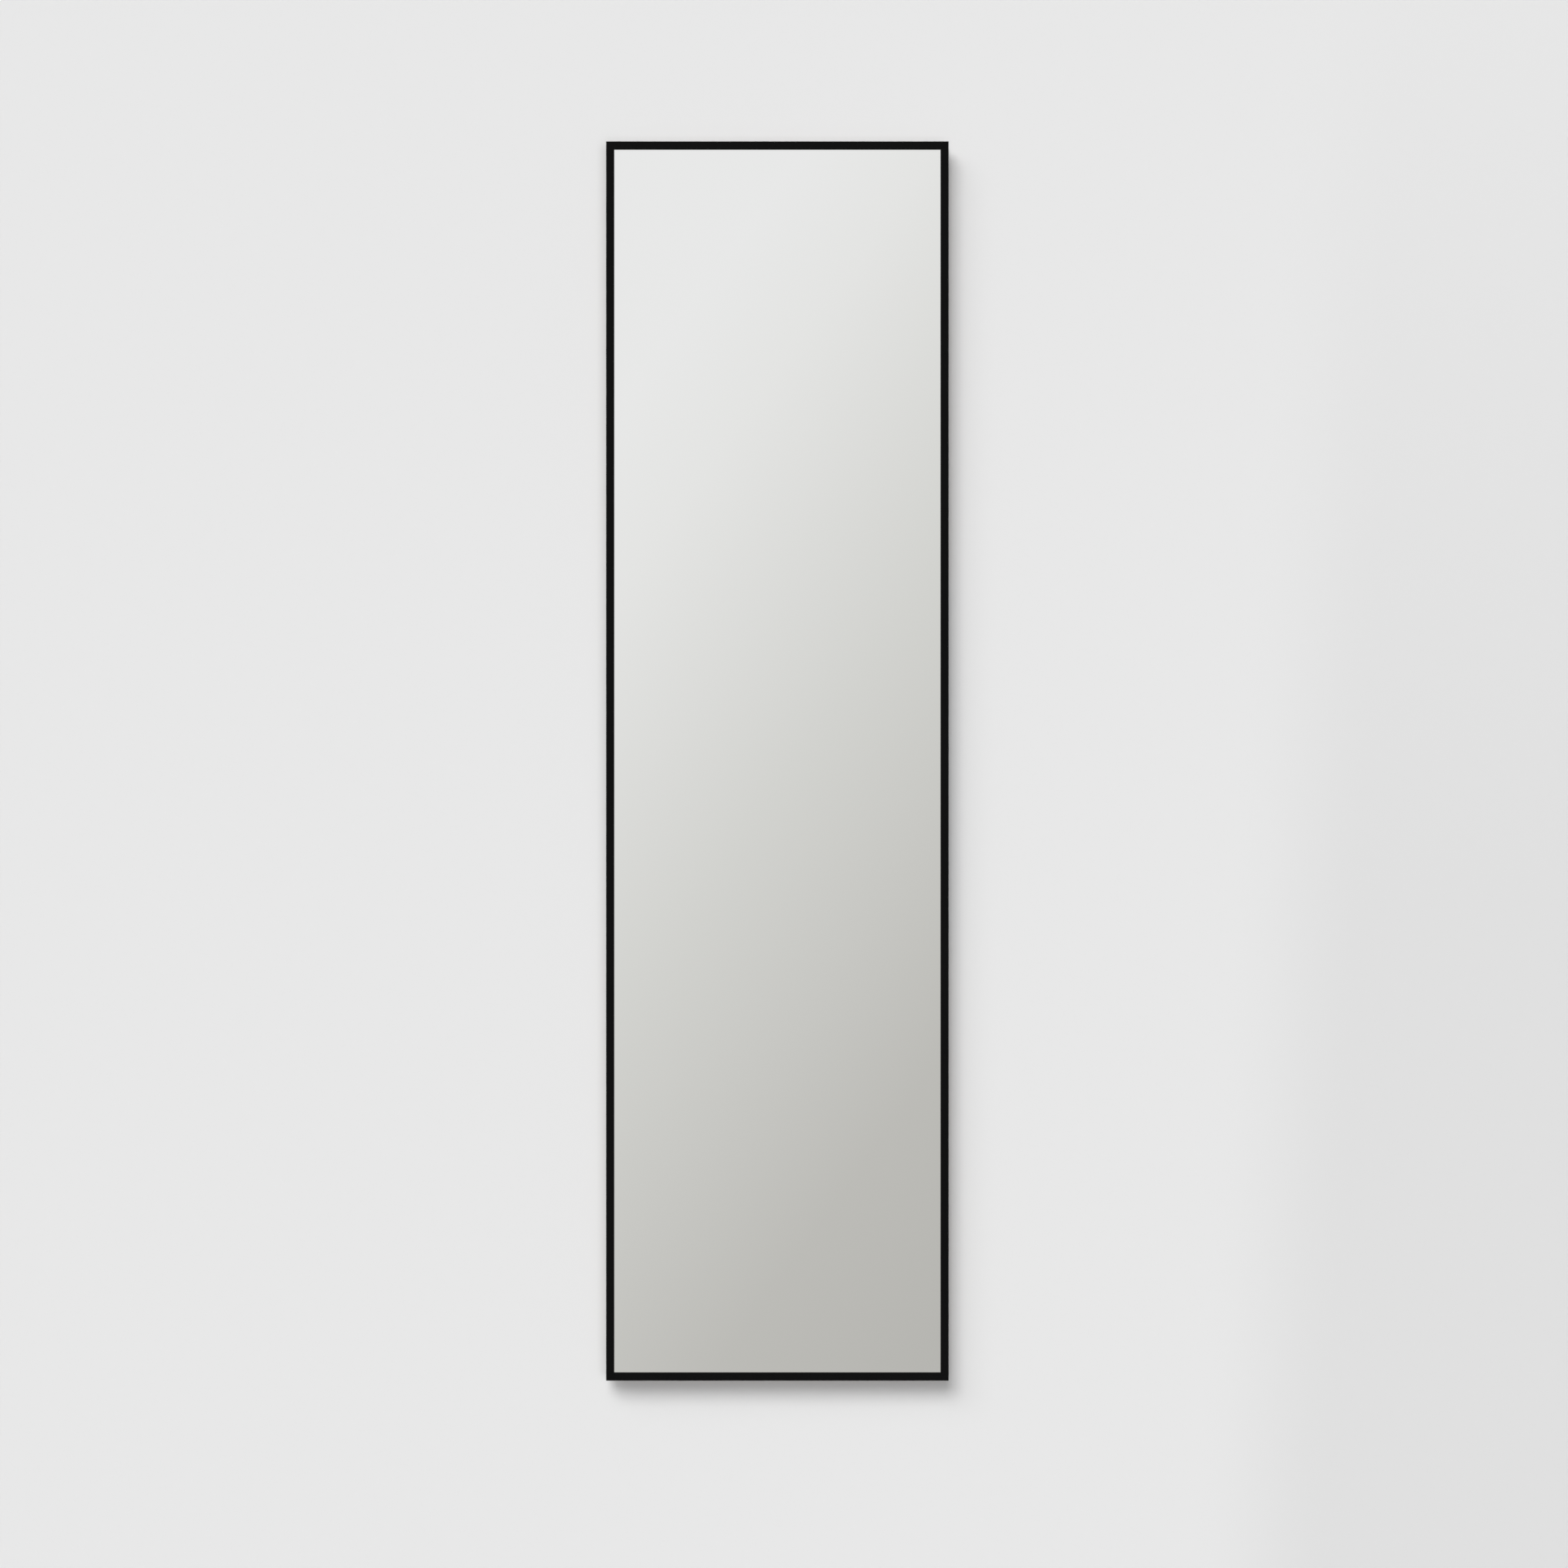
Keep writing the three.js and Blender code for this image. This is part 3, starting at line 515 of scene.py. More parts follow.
steel_black = black_coat("steel_black_coat", plate_black, plate_black_fleck, rough_low=0.42,
                         rough_high=0.5, shine=0.35, grain=1500, grain_depth=0.0004, wear=0.8, dust=0.25)
plate_low, plate_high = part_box("mounting_plate")
plate_shape = merged_copy("mounting_plate")
for x in [plate_low.x + wall_hole_from_side, plate_high.x - wall_hole_from_side]:
    for z in [plate_low.z + wall_hole_from_edge, 0, plate_high.z - wall_hole_from_edge]:
        rounded(plate_shape, Vector((x, 0, z)), wall_hole_reach)
break_edges(plate_shape, plate_edge, kept_sharp=punched_rings(plate_shape))
stands_for(finished_piece("mounting_plate_dressed", plate_shape), "mounting_plate", steel_black)

# Outer, middle and inner members
# Each runner is three lengths of cold-rolled steel strip, roll-formed with races for the balls
# and bright zinc plated. The rollers leave fine lines along them and the balls polish their races.
member_edge = 0.00012
zinc_colours = ((0.56, 0.58, 0.61, 1), (0.52, 0.52, 0.50, 1), (0.40, 0.41, 0.43, 1))


def working_marks_group(name, squeeze):
    """The fine marks of working a metal, drawn out to lines on the axis that is squeezed."""
    group, entry, leave = shader_group(name, {"Fineness": 4200}, ["Height", "Shade"])
    place = node(group, "TexCoord").outputs["Object"]
    squeezed = node(group, "VectorMath", {0: place, 1: squeeze}, operation="MULTIPLY").outputs[0]
    fine = noise(group, squeezed, entry["Fineness"], 2, 0.6)
    coarse = noise(group, squeezed, math_of(group, "MULTIPLY", entry["Fineness"], 0.22), 2)
    height = weighed(group, fine, 0.75, coarse)
    finish_outputs(group, leave, {"Height": height, "Shade": between(group, coarse, 0.2, 0.8)})
    return group


lines_along_x = working_marks_group("lines_along_x", (0.002, 1, 1))
tumbled_marks = working_marks_group("tumbled_marks", (1, 1, 1))


def plating_cloud_group():
    """Plating is never quite even: it has warmer fields and small dull stains."""
    group, entry, leave = shader_group("plating_cloud", {"Fields": 35, "Stains": 110}, ["Tint", "Stain"])
    place = node(group, "TexCoord").outputs["Object"]
    tint = between(group, noise(group, place, entry["Fields"], 3, 0.6), 0.35, 0.7)
    stain = between(group, noise(group, place, entry["Stains"], 4, 0.6, 0.6), 0.52, 0.72)
    finish_outputs(group, leave, {"Tint": tint, "Stain": stain})
    return group


plating_cloud = plating_cloud_group()


def plated_metal(name, marks_group, colours, rough_low, rough_high, line_depth, fineness=4200, dust=0.1):
    """Plated or bare metal with fine working marks and a cloudy, slightly uneven shine."""
    bright, warm, dull = colours
    material, tree = bare_material(name)
    marks = node(tree, "Group", {"Fineness": fineness}, node_tree=marks_group).outputs
    dusty = node(tree, "Group", {"Amount": dust}, node_tree=settled_dust).outputs["Mask"]
    cloud = node(tree, "Group", node_tree=plating_cloud).outputs
    colour = mixed(tree, cloud["Tint"], bright, warm)
    colour = mixed(tree, math_of(tree, "MULTIPLY", cloud["Stain"], 0.25), colour, dull)
    colour = mixed(tree, math_of(tree, "MULTIPLY", marks["Shade"], 0.2), colour, dull)
    colour = mixed(tree, dusty, colour, dust_grey)
    rough = between(tree, cloud["Stain"], 0, 1, rough_low, rough_high)
    rough = math_of(tree, "ADD", rough, math_of(tree, "MULTIPLY", marks["Shade"], 0.08))
    rough = math_of(tree, "ADD", rough, math_of(tree, "MULTIPLY", dusty, 0.4), clamp=True)
    bump = node(tree, "Bump", {"Height": marks["Height"], "Strength": 1, "Distance": line_depth})
    metal = node(tree, "BsdfPrincipled", {"Base Color": colour, "Metallic": 1, "Roughness": rough,
                                          "Normal": bump.outputs[0]})
    node(tree, "OutputMaterial", {"Surface": metal.outputs[0]})
    return material


rolled_zinc = plated_metal("rolled_zinc", lines_along_x, zinc_colours, rough_low=0.24, rough_high=0.4,
                           line_depth=0.000012)
ends = ["lower", "upper"]
for end in ends:
    for member in ["outer_member", "middle_member", "inner_member"]:
        part = f"{end}_{member}"
        stands_for(dressed(part, member_edge), part, rolled_zinc)

# Runner rivets
# Flush steel rivets, set from the wall side through the plate and the outer member's web. The
# setting tool leaves a shallow dimple in each face.
rivet_radius = 0.0033
rivet_shank = 0.002
rivet_cone = 0.0009
dimple_radius = 0.0011
dimple_rim = 0.00154
dimple_depth = 0.00012
seam_gap = 1e-7
small_edge = 0.00012


def turned(profile, steps=48):
    """A bmesh turned about Z from (radius, height) points that start and end on the axis or
    come back to where they began."""
    shape = bmesh.new()
    line = [shape.verts.new((radius, 0, height)) for radius, height in profile]
    edges = [shape.edges.new(pair) for pair in zip(line, line[1:])]
    bmesh.ops.spin(shape, geom=line + edges, cent=(0, 0, 0), axis=(0, 0, 1),
                   angle=math.tau, steps=steps, use_merge=True)
    bmesh.ops.remove_doubles(shape, verts=shape.verts, dist=seam_gap)
    bmesh.ops.recalc_face_normals(shape, faces=shape.faces)
    return shape


def parts_named(word):
    """The parts with this word in their names, in the order of the record."""
    return [part for part in body_of if word in part]


def middle_of(part):
    """The middle of a part's box."""
    low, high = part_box(part)
    return (low + high) / 2


to_room = Matrix.Rotation(math.pi / 2, 3, "X")
to_wall = Matrix.Rotation(-math.pi / 2, 3, "X")
small_zinc = plated_metal("small_zinc", tumbled_marks, zinc_colours, rough_low=0.26, rough_high=0.42,
                          line_depth=0.000006, fineness=1800)
for part in parts_named("rivet"):
    low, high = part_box(part)
    length = high.y - low.y
    half = [(0, -dimple_depth), (dimple_radius, -dimple_depth), (dimple_rim, 0),
            (rivet_radius, 0), (rivet_shank, -rivet_cone)]
    profile = half + [(radius, -length - height) for radius, height in reversed(half)]
    rivet = turned(profile)
    bmesh.ops.rotate(rivet, matrix=to_wall, verts=rivet.verts)
    bmesh.ops.translate(rivet, vec=(middle_of(part).x, high.y, middle_of(part).z), verts=rivet.verts)
    break_edges(rivet, small_edge)
    stands_for(finished_piece(f"{part}_set", rivet), part, small_zinc)

# End cushions
# Moulded rubber blocks pressed between the lips of the outer members at their closed end, where
# they take the knock when the mirror is pushed home.
cushion_edge = 0.0006
rubber_black = (0.012, 0.012, 0.0125, 1)
rubber_bloom = (0.032, 0.032, 0.033, 1)


def moulded_rubber():
    """Black rubber with the greyish bloom that comes to its surface."""
    material, tree = bare_material("moulded_rubber")
    moulded = node(tree, "Group", {"Grain": 2600, "Peel": 700, "Clouds": 160},
                   node_tree=surface_skin).outputs
    dusty = node(tree, "Group", {"Amount": 0.3}, node_tree=settled_dust).outputs["Mask"]
    bloom = moulded["Cloud"]
    colour = mixed(tree, dusty, mixed(tree, bloom, rubber_black, rubber_bloom), dust_grey)
    rough = between(tree, bloom, 0, 1, 0.62, 0.85)
    bump = node(tree, "Bump", {"Height": moulded["Height"], "Strength": 1, "Distance": 0.0001})
    skin = node(tree, "BsdfPrincipled", {"Base Color": colour, "Roughness": rough,
                                         "Specular IOR Level": 0.3, "Normal": bump.outputs[0]})
    node(tree, "OutputMaterial", {"Surface": skin.outputs[0]})
    return material


black_rubber = moulded_rubber()
for end in ends:
    part = f"{end}_end_cushion"
    stands_for(dressed(part, cushion_edge), part, black_rubber)

# Ball cages
# A thin steel strip folded along both edges, with a pocket for each ball. The balls are hardened,
# polished steel with a film of grease, and they run in the races of the members on both sides.
ball_radius = 0.0022
ball_pitch = 0.022
cage_sheet = 0.0006
cage_corner = 0.001
cage_tail = 0.002
cage_rim = 0.00208
pocket_gap = 0.00018
pocket_cut = 4 * cage_sheet
ball_bright = (0.66, 0.67, 0.68, 1)
ball_grease = (0.42, 0.40, 0.36, 1)
cage_colours = ((0.47, 0.47, 0.48, 1), (0.44, 0.43, 0.41, 1), (0.3, 0.3, 0.3, 1))


def settled(piece):
    """Applies a piece's modifiers to its mesh."""
    shaped = piece.evaluated_get(bpy.context.evaluated_depsgraph_get())
    mesh = bpy.data.meshes.new_from_object(shaped)
    piece.modifiers.clear()
    piece.data = mesh


def cut_from(piece, cutter_shape):
    """Takes a cutter's shape out of a piece."""
    cutter = finished_piece("cutter", cutter_shape)
    cut = piece.modifiers.new("cut", "BOOLEAN")
    cut.operation = "DIFFERENCE"
    cut.solver = "EXACT"
    cut.object = cutter
    settled(piece)
    bpy.data.objects.remove(cutter)


def cage_strip(low, high, row_height, ball_depth):
    """The folded strip: its web lies along the wall side, its edges reach past the balls."""
    web = high.y - cage_sheet / 2
    tail = ball_depth - cage_tail
    section = [(tail, row_height), (web - cage_corner, row_height), (web, row_height - cage_corner)]
    strip = bmesh.new()
    corners = [strip.verts.new((low.x, y, z)) for y, z in section]
    corners += [strip.verts.new((low.x, y, -z)) for y, z in reversed(section)]
    edges = [strip.edges.new(pair) for pair in zip(corners, corners[1:])]
    run = bmesh.ops.extrude_edge_only(strip, edges=edges)
    grown = [item for item in run["geom"] if isinstance(item, bmesh.types.BMVert)]
    bmesh.ops.translate(strip, vec=(high.x - low.x, 0, 0), verts=grown)
    bmesh.ops.recalc_face_normals(strip, faces=strip.faces)
    return strip


def ball_steel():
    """Polished steel, duller where the film of grease is thicker."""
    material, tree = bare_material("ball_steel")
    grease = node(tree, "Group", {"Clouds": 260}, node_tree=surface_skin).outputs["Cloud"]
    colour = mixed(tree, math_of(tree, "MULTIPLY", grease, 0.6), ball_bright, ball_grease)
    rough = between(tree, grease, 0, 1, 0.07, 0.3)
    metal = node(tree, "BsdfPrincipled", {"Base Color": colour, "Metallic": 1, "Roughness": rough})
    node(tree, "OutputMaterial", {"Surface": metal.outputs[0]})
    return material


polished_ball = ball_steel()
cage_metal = plated_metal("cage_strip_metal", lines_along_x, cage_colours, rough_low=0.3,
                          rough_high=0.45, line_depth=0.00001)
for part in parts_named("ball_cage"):
    low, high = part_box(part)
    centre = middle_of(part)
    row_height = (high.z - low.z) / 2 - cage_rim
    ball_depth = low.y + ball_radius
    balls_in_row = int((high.x - low.x) / ball_pitch) + 1
    ball_places = [centre.x + (i - (balls_in_row - 1) / 2) * ball_pitch for i in range(balls_in_row)]
    strip_shape = cage_strip(low, high, row_height, ball_depth)
    bmesh.ops.translate(strip_shape, vec=(0, 0, centre.z), verts=strip_shape.verts)
    strip = finished_piece(f"{part}_strip", strip_shape)
    strip.modifiers.clear()
    thick = strip.modifiers.new("thickness", "SOLIDIFY")
    thick.thickness = cage_sheet
    thick.offset = 0
    thick.use_even_offset = True
    settled(strip)
    balls = bmesh.new()
    for side in [-1, 1]:
        for x in ball_places:
            place = Matrix.Translation((x, ball_depth, centre.z + side * row_height))
            bmesh.ops.create_uvsphere(balls, u_segments=20, v_segments=12, radius=ball_radius,
                                      matrix=place)
            pocket = bmesh.new()
            bmesh.ops.create_cone(pocket, cap_ends=True, segments=28, radius1=ball_radius + pocket_gap,
                                  radius2=ball_radius + pocket_gap, depth=pocket_cut, matrix=place)
            cut_from(strip, pocket)
    stands_for(strip, part, cage_metal)
    ball_set = finished_piece(f"{part}_balls", balls)
    ball_set.data.materials.append(polished_ball)
    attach(ball_set, body_of[part])

# Carriage bracket
# A folded sheet-steel bracket that joins both inner members. Its flange stands in front of the
# runners' ends and carries four ears for the hinge pins. It has the plate's black coat.
stands_for(dressed("carriage_bracket", plate_edge), "carriage_bracket", steel_black)

# Screws
# Countersunk machine screws with a cross recess and a rolled thread. The carriage screws face the
# room and the strap screws face the wall.
screw_head = 0.0037
screw_shank = 0.0019
screw_cone = 0.0014
screw_rim = 0.0002
thread_pitch = 0.0007
thread_depth = 0.00022
thread_rows = 4
recess_span = 0.0042
recess_width = 0.0011
recess_depth = 0.00115
recess_floor_share = 0.55
recess_floor_width_share = 0.8
screw_crease = math.radians(35)


def threaded_screw(length):
    """A screw whose head is at the origin, with a helical thread below the cone."""
    rows = int((length - screw_cone) / thread_pitch * thread_rows)
    thread = [-screw_cone - (i + 1) * thread_pitch / thread_rows for i in range(rows)]
    profile = [(0, 0), (screw_head, 0), (screw_head, -screw_rim), (screw_shank, -screw_cone)]
    profile += [(screw_shank, height) for height in thread if height > -length]
    profile += [(screw_shank - thread_depth, -length), (0, -length)]
    shape = turned(profile, steps=32)
    for vert in shape.verts:
        radius = math.hypot(vert.co.x, vert.co.y)
        if -length + thread_pitch / thread_rows < vert.co.z < -screw_cone and radius > screw_shank / 2:
            turn = vert.co.z / thread_pitch - math.atan2(vert.co.y, vert.co.x) / math.tau
            crest = abs(2 * (turn % 1) - 1)
            grown = 1 - (1 - crest) * thread_depth / radius
            vert.co.x *= grown
            vert.co.y *= grown
    return shape


def cross_recess():
    """Two crossing slots that narrow towards their floor."""
    slots = []
    for turn in [0, math.pi / 2]:
        slot = bmesh.new()
        bmesh.ops.create_cube(slot, size=1)
        slot_floor = [vert for vert in slot.verts if vert.co.z < 0]
        bmesh.ops.scale(slot, vec=(recess_floor_share, recess_floor_width_share, 1), verts=slot_floor)
        bmesh.ops.scale(slot, vec=(recess_span, recess_width, 2 * recess_depth), verts=slot.verts)
        bmesh.ops.rotate(slot, matrix=Matrix.Rotation(turn, 3, "Z"), verts=slot.verts)
        slots.append(slot)
    return slots


def screw_piece(name, length, turn, place):
    """A finished screw, turned and brought to its place, with crisp rims."""
    piece = finished_piece(name, threaded_screw(length))
    piece.modifiers.clear()
    for slot in cross_recess():
        cut_from(piece, slot)
    shape = bmesh.new()
    shape.from_mesh(piece.data)
    bmesh.ops.rotate(shape, matrix=turn, verts=shape.verts)
    bmesh.ops.translate(shape, vec=place, verts=shape.verts)
    for edge in shape.edges:
        edge.smooth = edge.calc_face_angle(0) < screw_crease
    bpy.data.objects.remove(piece)
    return finished_piece(name, shape)


for part in parts_named("screw"):
    low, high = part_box(part)
    faces_room = "carriage" in part
    head_place = (middle_of(part).x, low.y if faces_room else high.y, middle_of(part).z)
    screw = screw_piece(f"{part}_driven", high.y - low.y, to_room if faces_room else to_wall, head_place)
    stands_for(screw, part, small_zinc)

# Closing bumpers
# Push-in rubber bumpers: a barbed stem holds each in its hole in the bracket, and the panel's
# back comes to rest on its nose.
bumper_foot = 0.006
bumper_nose = 0.0045
bumper_stem = 0.0018
bumper_barb = 0.0027
bumper_barb_length = 0.003
bumper_foot_gap = 0.0021
bumper_edge = 0.0005
for end in ends:
    part = f"{end}_closing_bumper"
    low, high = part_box(part)
    length = high.y - low.y
    foot = bumper_barb_length + bumper_foot_gap
    bumper = turned([(0, 0), (bumper_stem, 0), (bumper_barb, -bumper_barb_length),
                     (bumper_stem, -bumper_barb_length), (bumper_stem, -foot), (bumper_foot, -foot),
                     (bumper_foot, -foot - bumper_edge), (bumper_nose, -length), (0, -length)])
    break_edges(bumper, bumper_edge / 2, segments=3)
    bmesh.ops.rotate(bumper, matrix=to_wall, verts=bumper.verts)
    bmesh.ops.translate(bumper, vec=(middle_of(part).x, high.y, middle_of(part).z), verts=bumper.verts)
    stands_for(finished_piece(f"{part}_moulded", bumper), part, black_rubber)

# Hinge pins and their clips
# Headed steel pins dropped through the ears and the strap's eye from above, each kept in by a
# spring clip in the groove near its foot.
pin_radius = 0.002
pin_head_radius = 0.0036
pin_head_height = 0.0015
pin_groove = 0.0005
pin_chamfer = 0.0005
pin_tail = 0.0013
groove_width = 0.0014
clip_edge = 0.0001
for end in ends:
    part = f"{end}_hinge_pin"
    low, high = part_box(part)
    length = high.z - low.z
    neck = pin_radius - pin_groove
    groove_top = pin_tail + groove_width
    head_foot = length - pin_head_height
    pin = turned([(0, 0), (pin_radius - pin_chamfer, 0), (pin_radius, pin_chamfer),
                  (pin_radius, pin_tail), (neck, pin_tail), (neck, groove_top), (pin_radius, groove_top),
                  (pin_radius, head_foot), (pin_head_radius, head_foot),
                  (pin_head_radius, length - pin_chamfer), (pin_head_radius - pin_chamfer, length),
                  (0, length)])
    break_edges(pin, small_edge)
    bmesh.ops.translate(pin, vec=(middle_of(part).x, middle_of(part).y, low.z), verts=pin.verts)
    stands_for(finished_piece(f"{part}_turned", pin), part, small_zinc)
    part = f"{end}_pin_clip"
    stands_for(dressed(part, clip_edge), part, small_zinc)

# Frame
# Four lengths of a thin aluminium extrusion, mitred at the corners and held by keys in their rear
# channel. The coat is a fine, dead matt black that takes hardly any shine.
frame_edge = 0.00015
frame_dark = (0.0018, 0.0018, 0.0019, 1)
frame_light = (0.0044, 0.0043, 0.0045, 1)
half_width = cad_high.x
half_height = cad_high.z
mitre_slack = 0.0003
mitre_tilt = 0.01
upright_tilt = 0.1


def closed_mitre(shape, upright):
    """Brings a side's cut ends up to the corner's diagonal and gives the edges of both ends."""
    for vert in shape.verts:
        inward = (half_width - abs(vert.co.x), half_height - abs(vert.co.z))
        if abs(inward[0] - inward[1]) > mitre_slack:
            continue
        if upright:
            vert.co.z = math.copysign(half_height - inward[0], vert.co.z)
        else:
            vert.co.x = math.copysign(half_width - inward[1], vert.co.x)
    shape.normal_update()
    cut = [face for face in shape.faces
           if abs(abs(face.normal.x) - abs(face.normal.z)) < mitre_tilt
           and abs(face.normal.y) < upright_tilt]
    return {edge for face in cut for edge in face.edges}


frame_black = black_coat("frame_black_coat", frame_dark, frame_light, rough_low=0.5, rough_high=0.62,
                         shine=0.055, grain=2400, grain_depth=0.00014, wear=0.06, dust=0.04)
for part in ["left_stile", "top_rail", "right_stile", "bottom_rail"]:
    side = merged_copy(part)
    break_edges(side, frame_edge, kept_sharp=closed_mitre(side, "stile" in part))
    stands_for(finished_piece(f"{part}_coated", side), part, frame_black)

# Corner keys and cross bars
# Flat aluminium stock: the keys are punched out and the bars are sawn to length. They keep the
# plain mill finish, because they lie inside the frame or behind it.
key_edge = 0.0002
mill_colours = ((0.70, 0.71, 0.72, 1), (0.66, 0.66, 0.65, 1), (0.48, 0.49, 0.50, 1))
mill_bar = plated_metal("mill_aluminium_bar", lines_along_x, mill_colours, rough_low=0.3,
                        rough_high=0.42, line_depth=0.000016, fineness=2600)
mill_key = plated_metal("mill_aluminium_key", tumbled_marks, mill_colours, rough_low=0.36,
                        rough_high=0.5, line_depth=0.00001)
for part in parts_named("corner_key"):
    stands_for(dressed(part, key_edge), part, mill_key)
for part in parts_named("cross_bar"):
    stands_for(dressed(part, key_edge), part, mill_bar)

# Mirror glass
# Float glass with ground and polished edges. Its back is silvered and painted. From the front it
# is all silver, so that face is a clean reflector, and the edges show the glass's own green.
glass_arris = 0.0004
silver_tint = (silver_share, silver_share * 1.004, silver_share, 1)
silver_thin = (silver_share * 0.996, silver_share, silver_share * 0.994, 1)
edge_green = (0.10, 0.21, 0.17, 1)
edge_green_deep = (0.04, 0.12, 0.09, 1)
paint_grey = (0.16, 0.165, 0.17, 1)
paint_dark = (0.115, 0.12, 0.125, 1)
squarely = 0.99


def silvering():
    """Almost even: only a trace of cleaning haze roughens it here and there."""
    material, tree = bare_material("silvering")
    place = node(tree, "TexCoord").outputs["Object"]
    haze = between(tree, noise(tree, place, 5, 3), 0.5, 0.8)
    colour = mixed(tree, between(tree, noise(tree, place, 2.2, 2), 0.3, 0.7), silver_tint, silver_thin)
    rough = between(tree, haze, 0, 1, 0.0, 0.012)
    face = node(tree, "BsdfPrincipled", {"Base Color": colour, "Metallic": 1, "Roughness": rough})
    node(tree, "OutputMaterial", {"Surface": face.outputs[0]})
    return material


def even_skin(name, first, second, spots, rough_low, rough_high, grain, grain_depth):
    """A paint, plastic or polished edge of two close tones with a fine grain."""
    material, tree = bare_material(name)
    skin = node(tree, "Group", {"Grain": grain, "Clouds": spots}, node_tree=surface_skin).outputs
    bump = node(tree, "Bump", {"Height": skin["Height"], "Strength": 1, "Distance": grain_depth})
    face = node(tree, "BsdfPrincipled", {
        "Base Color": mixed(tree, skin["Cloud"], first, second),
        "Roughness": between(tree, skin["Cloud"], 0, 1, rough_low, rough_high),
        "Normal": bump.outputs[0]})
    node(tree, "OutputMaterial", {"Surface": face.outputs[0]})
    return material


def slab(part, arris):
    """A flat slab that fills a part's box, with its edges ground off."""
    low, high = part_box(part)
    shape = bmesh.new()
    bmesh.ops.create_cube(shape, size=1)
    bmesh.ops.scale(shape, vec=high - low, verts=shape.verts)
    bmesh.ops.translate(shape, vec=middle_of(part), verts=shape.verts)
    break_edges(shape, arris)
    return shape


glass_shape = slab("mirror_glass", glass_arris)
for face in glass_shape.faces:
    face.normal_update()
    face.material_index = 0 if face.normal.y < -squarely else 2 if face.normal.y > squarely else 1
glass = finished_piece("mirror_glass_silvered", glass_shape)
face_materials = [face.material_index for face in glass.data.polygons]
stands_for(glass, "mirror_glass", silvering())
ground_edge = even_skin("glass_edge", edge_green, edge_green_deep, spots=60, rough_low=0.08,
                        rough_high=0.2, grain=900, grain_depth=0.00001)
backing_paint = even_skin("backing_paint", paint_grey, paint_dark, spots=25, rough_low=0.35,
                          rough_high=0.5, grain=1500, grain_depth=0.00002)
glass.data.materials.append(ground_edge)
glass.data.materials.append(backing_paint)
for face, index in zip(glass.data.polygons, face_materials):
    face.material_index = index

# Backing board
# Pressed hardboard behind the glass: brown wood fibre with a smooth face towards the glass. Its
# back has the fine mesh of the wire screen that it was pressed on.
board_edge = 0.0003
fibre_brown = (0.135, 0.078, 0.041, 1)
fibre_dark = (0.062, 0.036, 0.020, 1)
fibre_pale = (0.27, 0.18, 0.105, 1)
screen_pitch = 0.0016


def hardboard():
    """Brown fibre in clouds and clumps, with the screen's print on the side marked for it and painted
    shade in its dents.
    """
    material, tree = bare_material("hardboard")
    place = node(tree, "TexCoord").outputs["Object"]
    cloud = between(tree, noise(tree, place, 16, 5, 0.62), 0.36, 0.66)
    clump = between(tree, noise(tree, place, 330, 4, 0.7, 0.4), 0.35, 0.7)
    strands = noise(tree, place, 300, 3, 0.6, 1.1)
    ridge = math_of(tree, "ABSOLUTE", math_of(tree, "SUBTRACT", strands, 0.5))
    fibre = between(tree, ridge, 0.004, 0.035, 1, 0)
    axes = node(tree, "SeparateXYZ", {0: place}).outputs
    waves = [math_of(tree, "SINE", math_of(tree, "MULTIPLY", axes[axis], math.tau / screen_pitch))
             for axis in ["X", "Z"]]
    mesh = math_of(tree, "MULTIPLY", waves[0], waves[1])
    screened = node(tree, "Attribute", attribute_name="screen_side").outputs["Fac"]
    printed = math_of(tree, "MULTIPLY", mesh, math_of(tree, "MULTIPLY", screened, 0.5))
    colour = mixed(tree, math_of(tree, "MULTIPLY", cloud, 0.45), fibre_brown, fibre_dark)
    colour = mixed(tree, math_of(tree, "MULTIPLY", clump, 0.5), colour, fibre_dark)
    colour = mixed(tree, math_of(tree, "MULTIPLY", fibre, 0.22), colour, fibre_pale)
    # Painted shade: the colour darkens in the dents of the screen's print.
    painted_dent_shade = between(tree, printed, -0.5, 0.1, 0.42, 0)
    colour = mixed(tree, painted_dent_shade, colour, fibre_dark)
    height = math_of(tree, "ADD", printed, math_of(tree, "MULTIPLY", clump, 0.45))
    bump = node(tree, "Bump", {"Height": height, "Strength": 1, "Distance": 0.00022})
    rough = between(tree, clump, 0, 1, 0.62, 0.8)
    board = node(tree, "BsdfPrincipled", {"Base Color": colour, "Roughness": rough,
                                          "Specular IOR Level": 0.25, "Normal": bump.outputs[0]})
    node(tree, "OutputMaterial", {"Surface": board.outputs[0]})
    return material


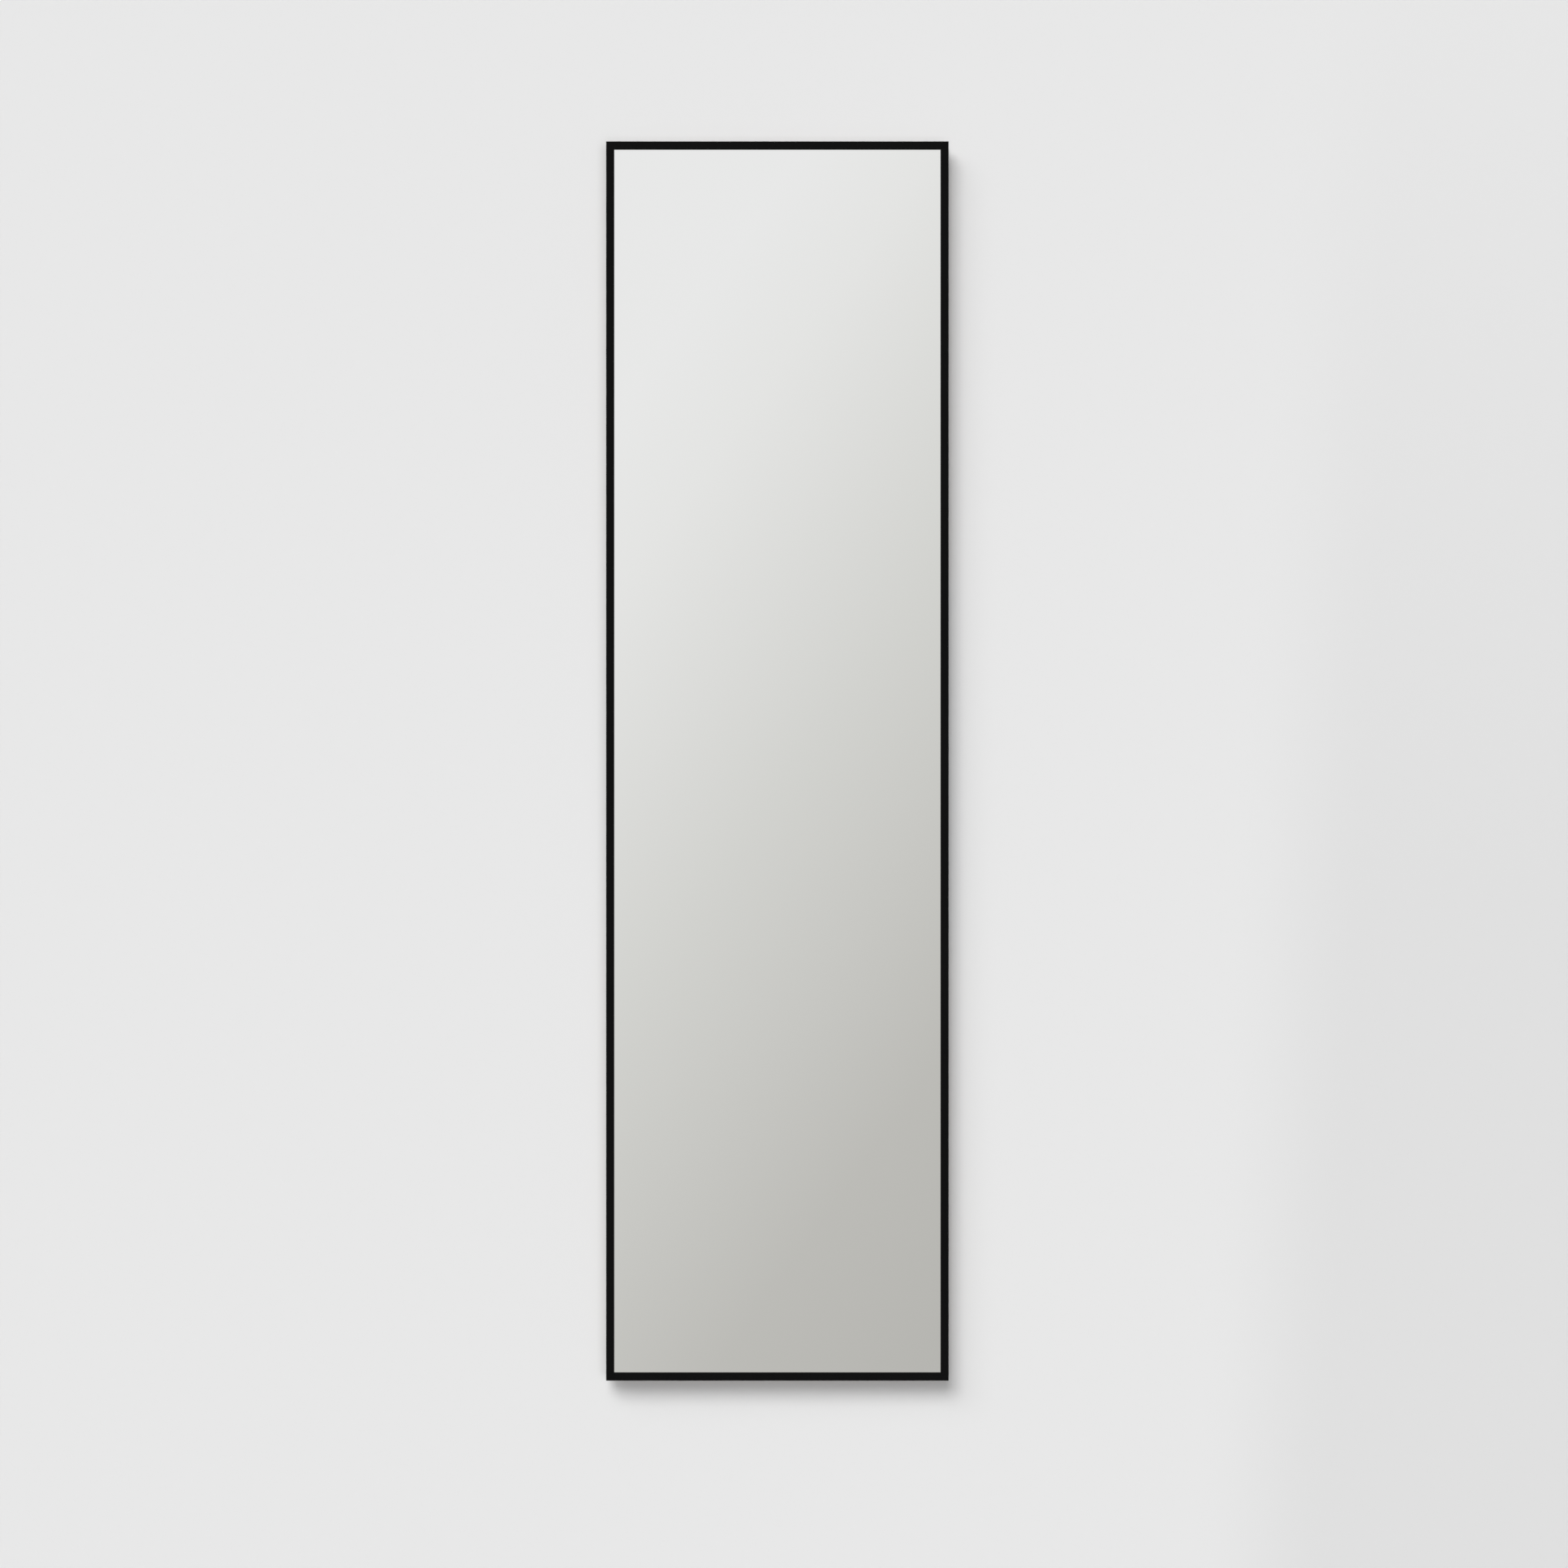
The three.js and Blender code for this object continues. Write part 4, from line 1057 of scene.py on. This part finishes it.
board_shape = slab("backing_board", board_edge)
screen_side = board_shape.faces.layers.float.new("screen_side")
board_shape.normal_update()
for face in board_shape.faces:
    face[screen_side] = 1 if face.normal.y > squarely else 0
stands_for(finished_piece("backing_board_pressed", board_shape), "backing_board", hardboard())

# Spring clips
# Bowed strips of spring steel, pushed in between the board and the frame's rib. They hold the
# glass and board forward without a rattle.
spring_edge = 0.0001
spring_zinc = plated_metal("spring_zinc", tumbled_marks, zinc_colours, rough_low=0.2, rough_high=0.34,
                           line_depth=0.000005, fineness=2400)
for part in parts_named("spring_clip"):
    stands_for(dressed(part, spring_edge), part, spring_zinc)

# Hinge straps
# Steel straps rolled into an eye at one end and set forward past the stile, where two screws each
# hold them to the cross bars. They have the plate's black coat.
for end in ends:
    part = f"{end}_hinge_strap"
    stands_for(dressed(part, plate_edge), part, steel_black)

# Hinge bushes
# Flanged bushes moulded in natural nylon, one pressed into each end of each eye. Their flanges
# run against the bracket's ears.
bush_bore = 0.0023
bush_radius = 0.0031
bush_flange = 0.0008
nylon_white = (0.74, 0.72, 0.65, 1)
nylon_shade = (0.66, 0.64, 0.57, 1)
natural_nylon = even_skin("natural_nylon", nylon_white, nylon_shade, spots=200, rough_low=0.38,
                          rough_high=0.52, grain=2400, grain_depth=0.00001)
for part in parts_named("bush"):
    low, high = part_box(part)
    length = high.z - low.z
    flange_radius = (high.x - low.x) / 2
    shoulder = length - bush_flange
    bush = turned([(bush_bore, 0), (bush_radius, 0), (bush_radius, shoulder), (flange_radius, shoulder),
                   (flange_radius, length), (bush_bore, length), (bush_bore, 0)])
    break_edges(bush, small_edge)
    if "bottom" in part:
        bmesh.ops.rotate(bush, matrix=Matrix.Rotation(math.pi, 3, "X"), verts=bush.verts)
    foot = high.z if "bottom" in part else low.z
    bmesh.ops.translate(bush, vec=(middle_of(part).x, middle_of(part).y, foot), verts=bush.verts)
    stands_for(finished_piece(f"{part}_moulded", bush), part, natural_nylon)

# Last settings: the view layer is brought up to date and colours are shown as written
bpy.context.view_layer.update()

scene = bpy.context.scene
scene.view_settings.view_transform = "Standard"
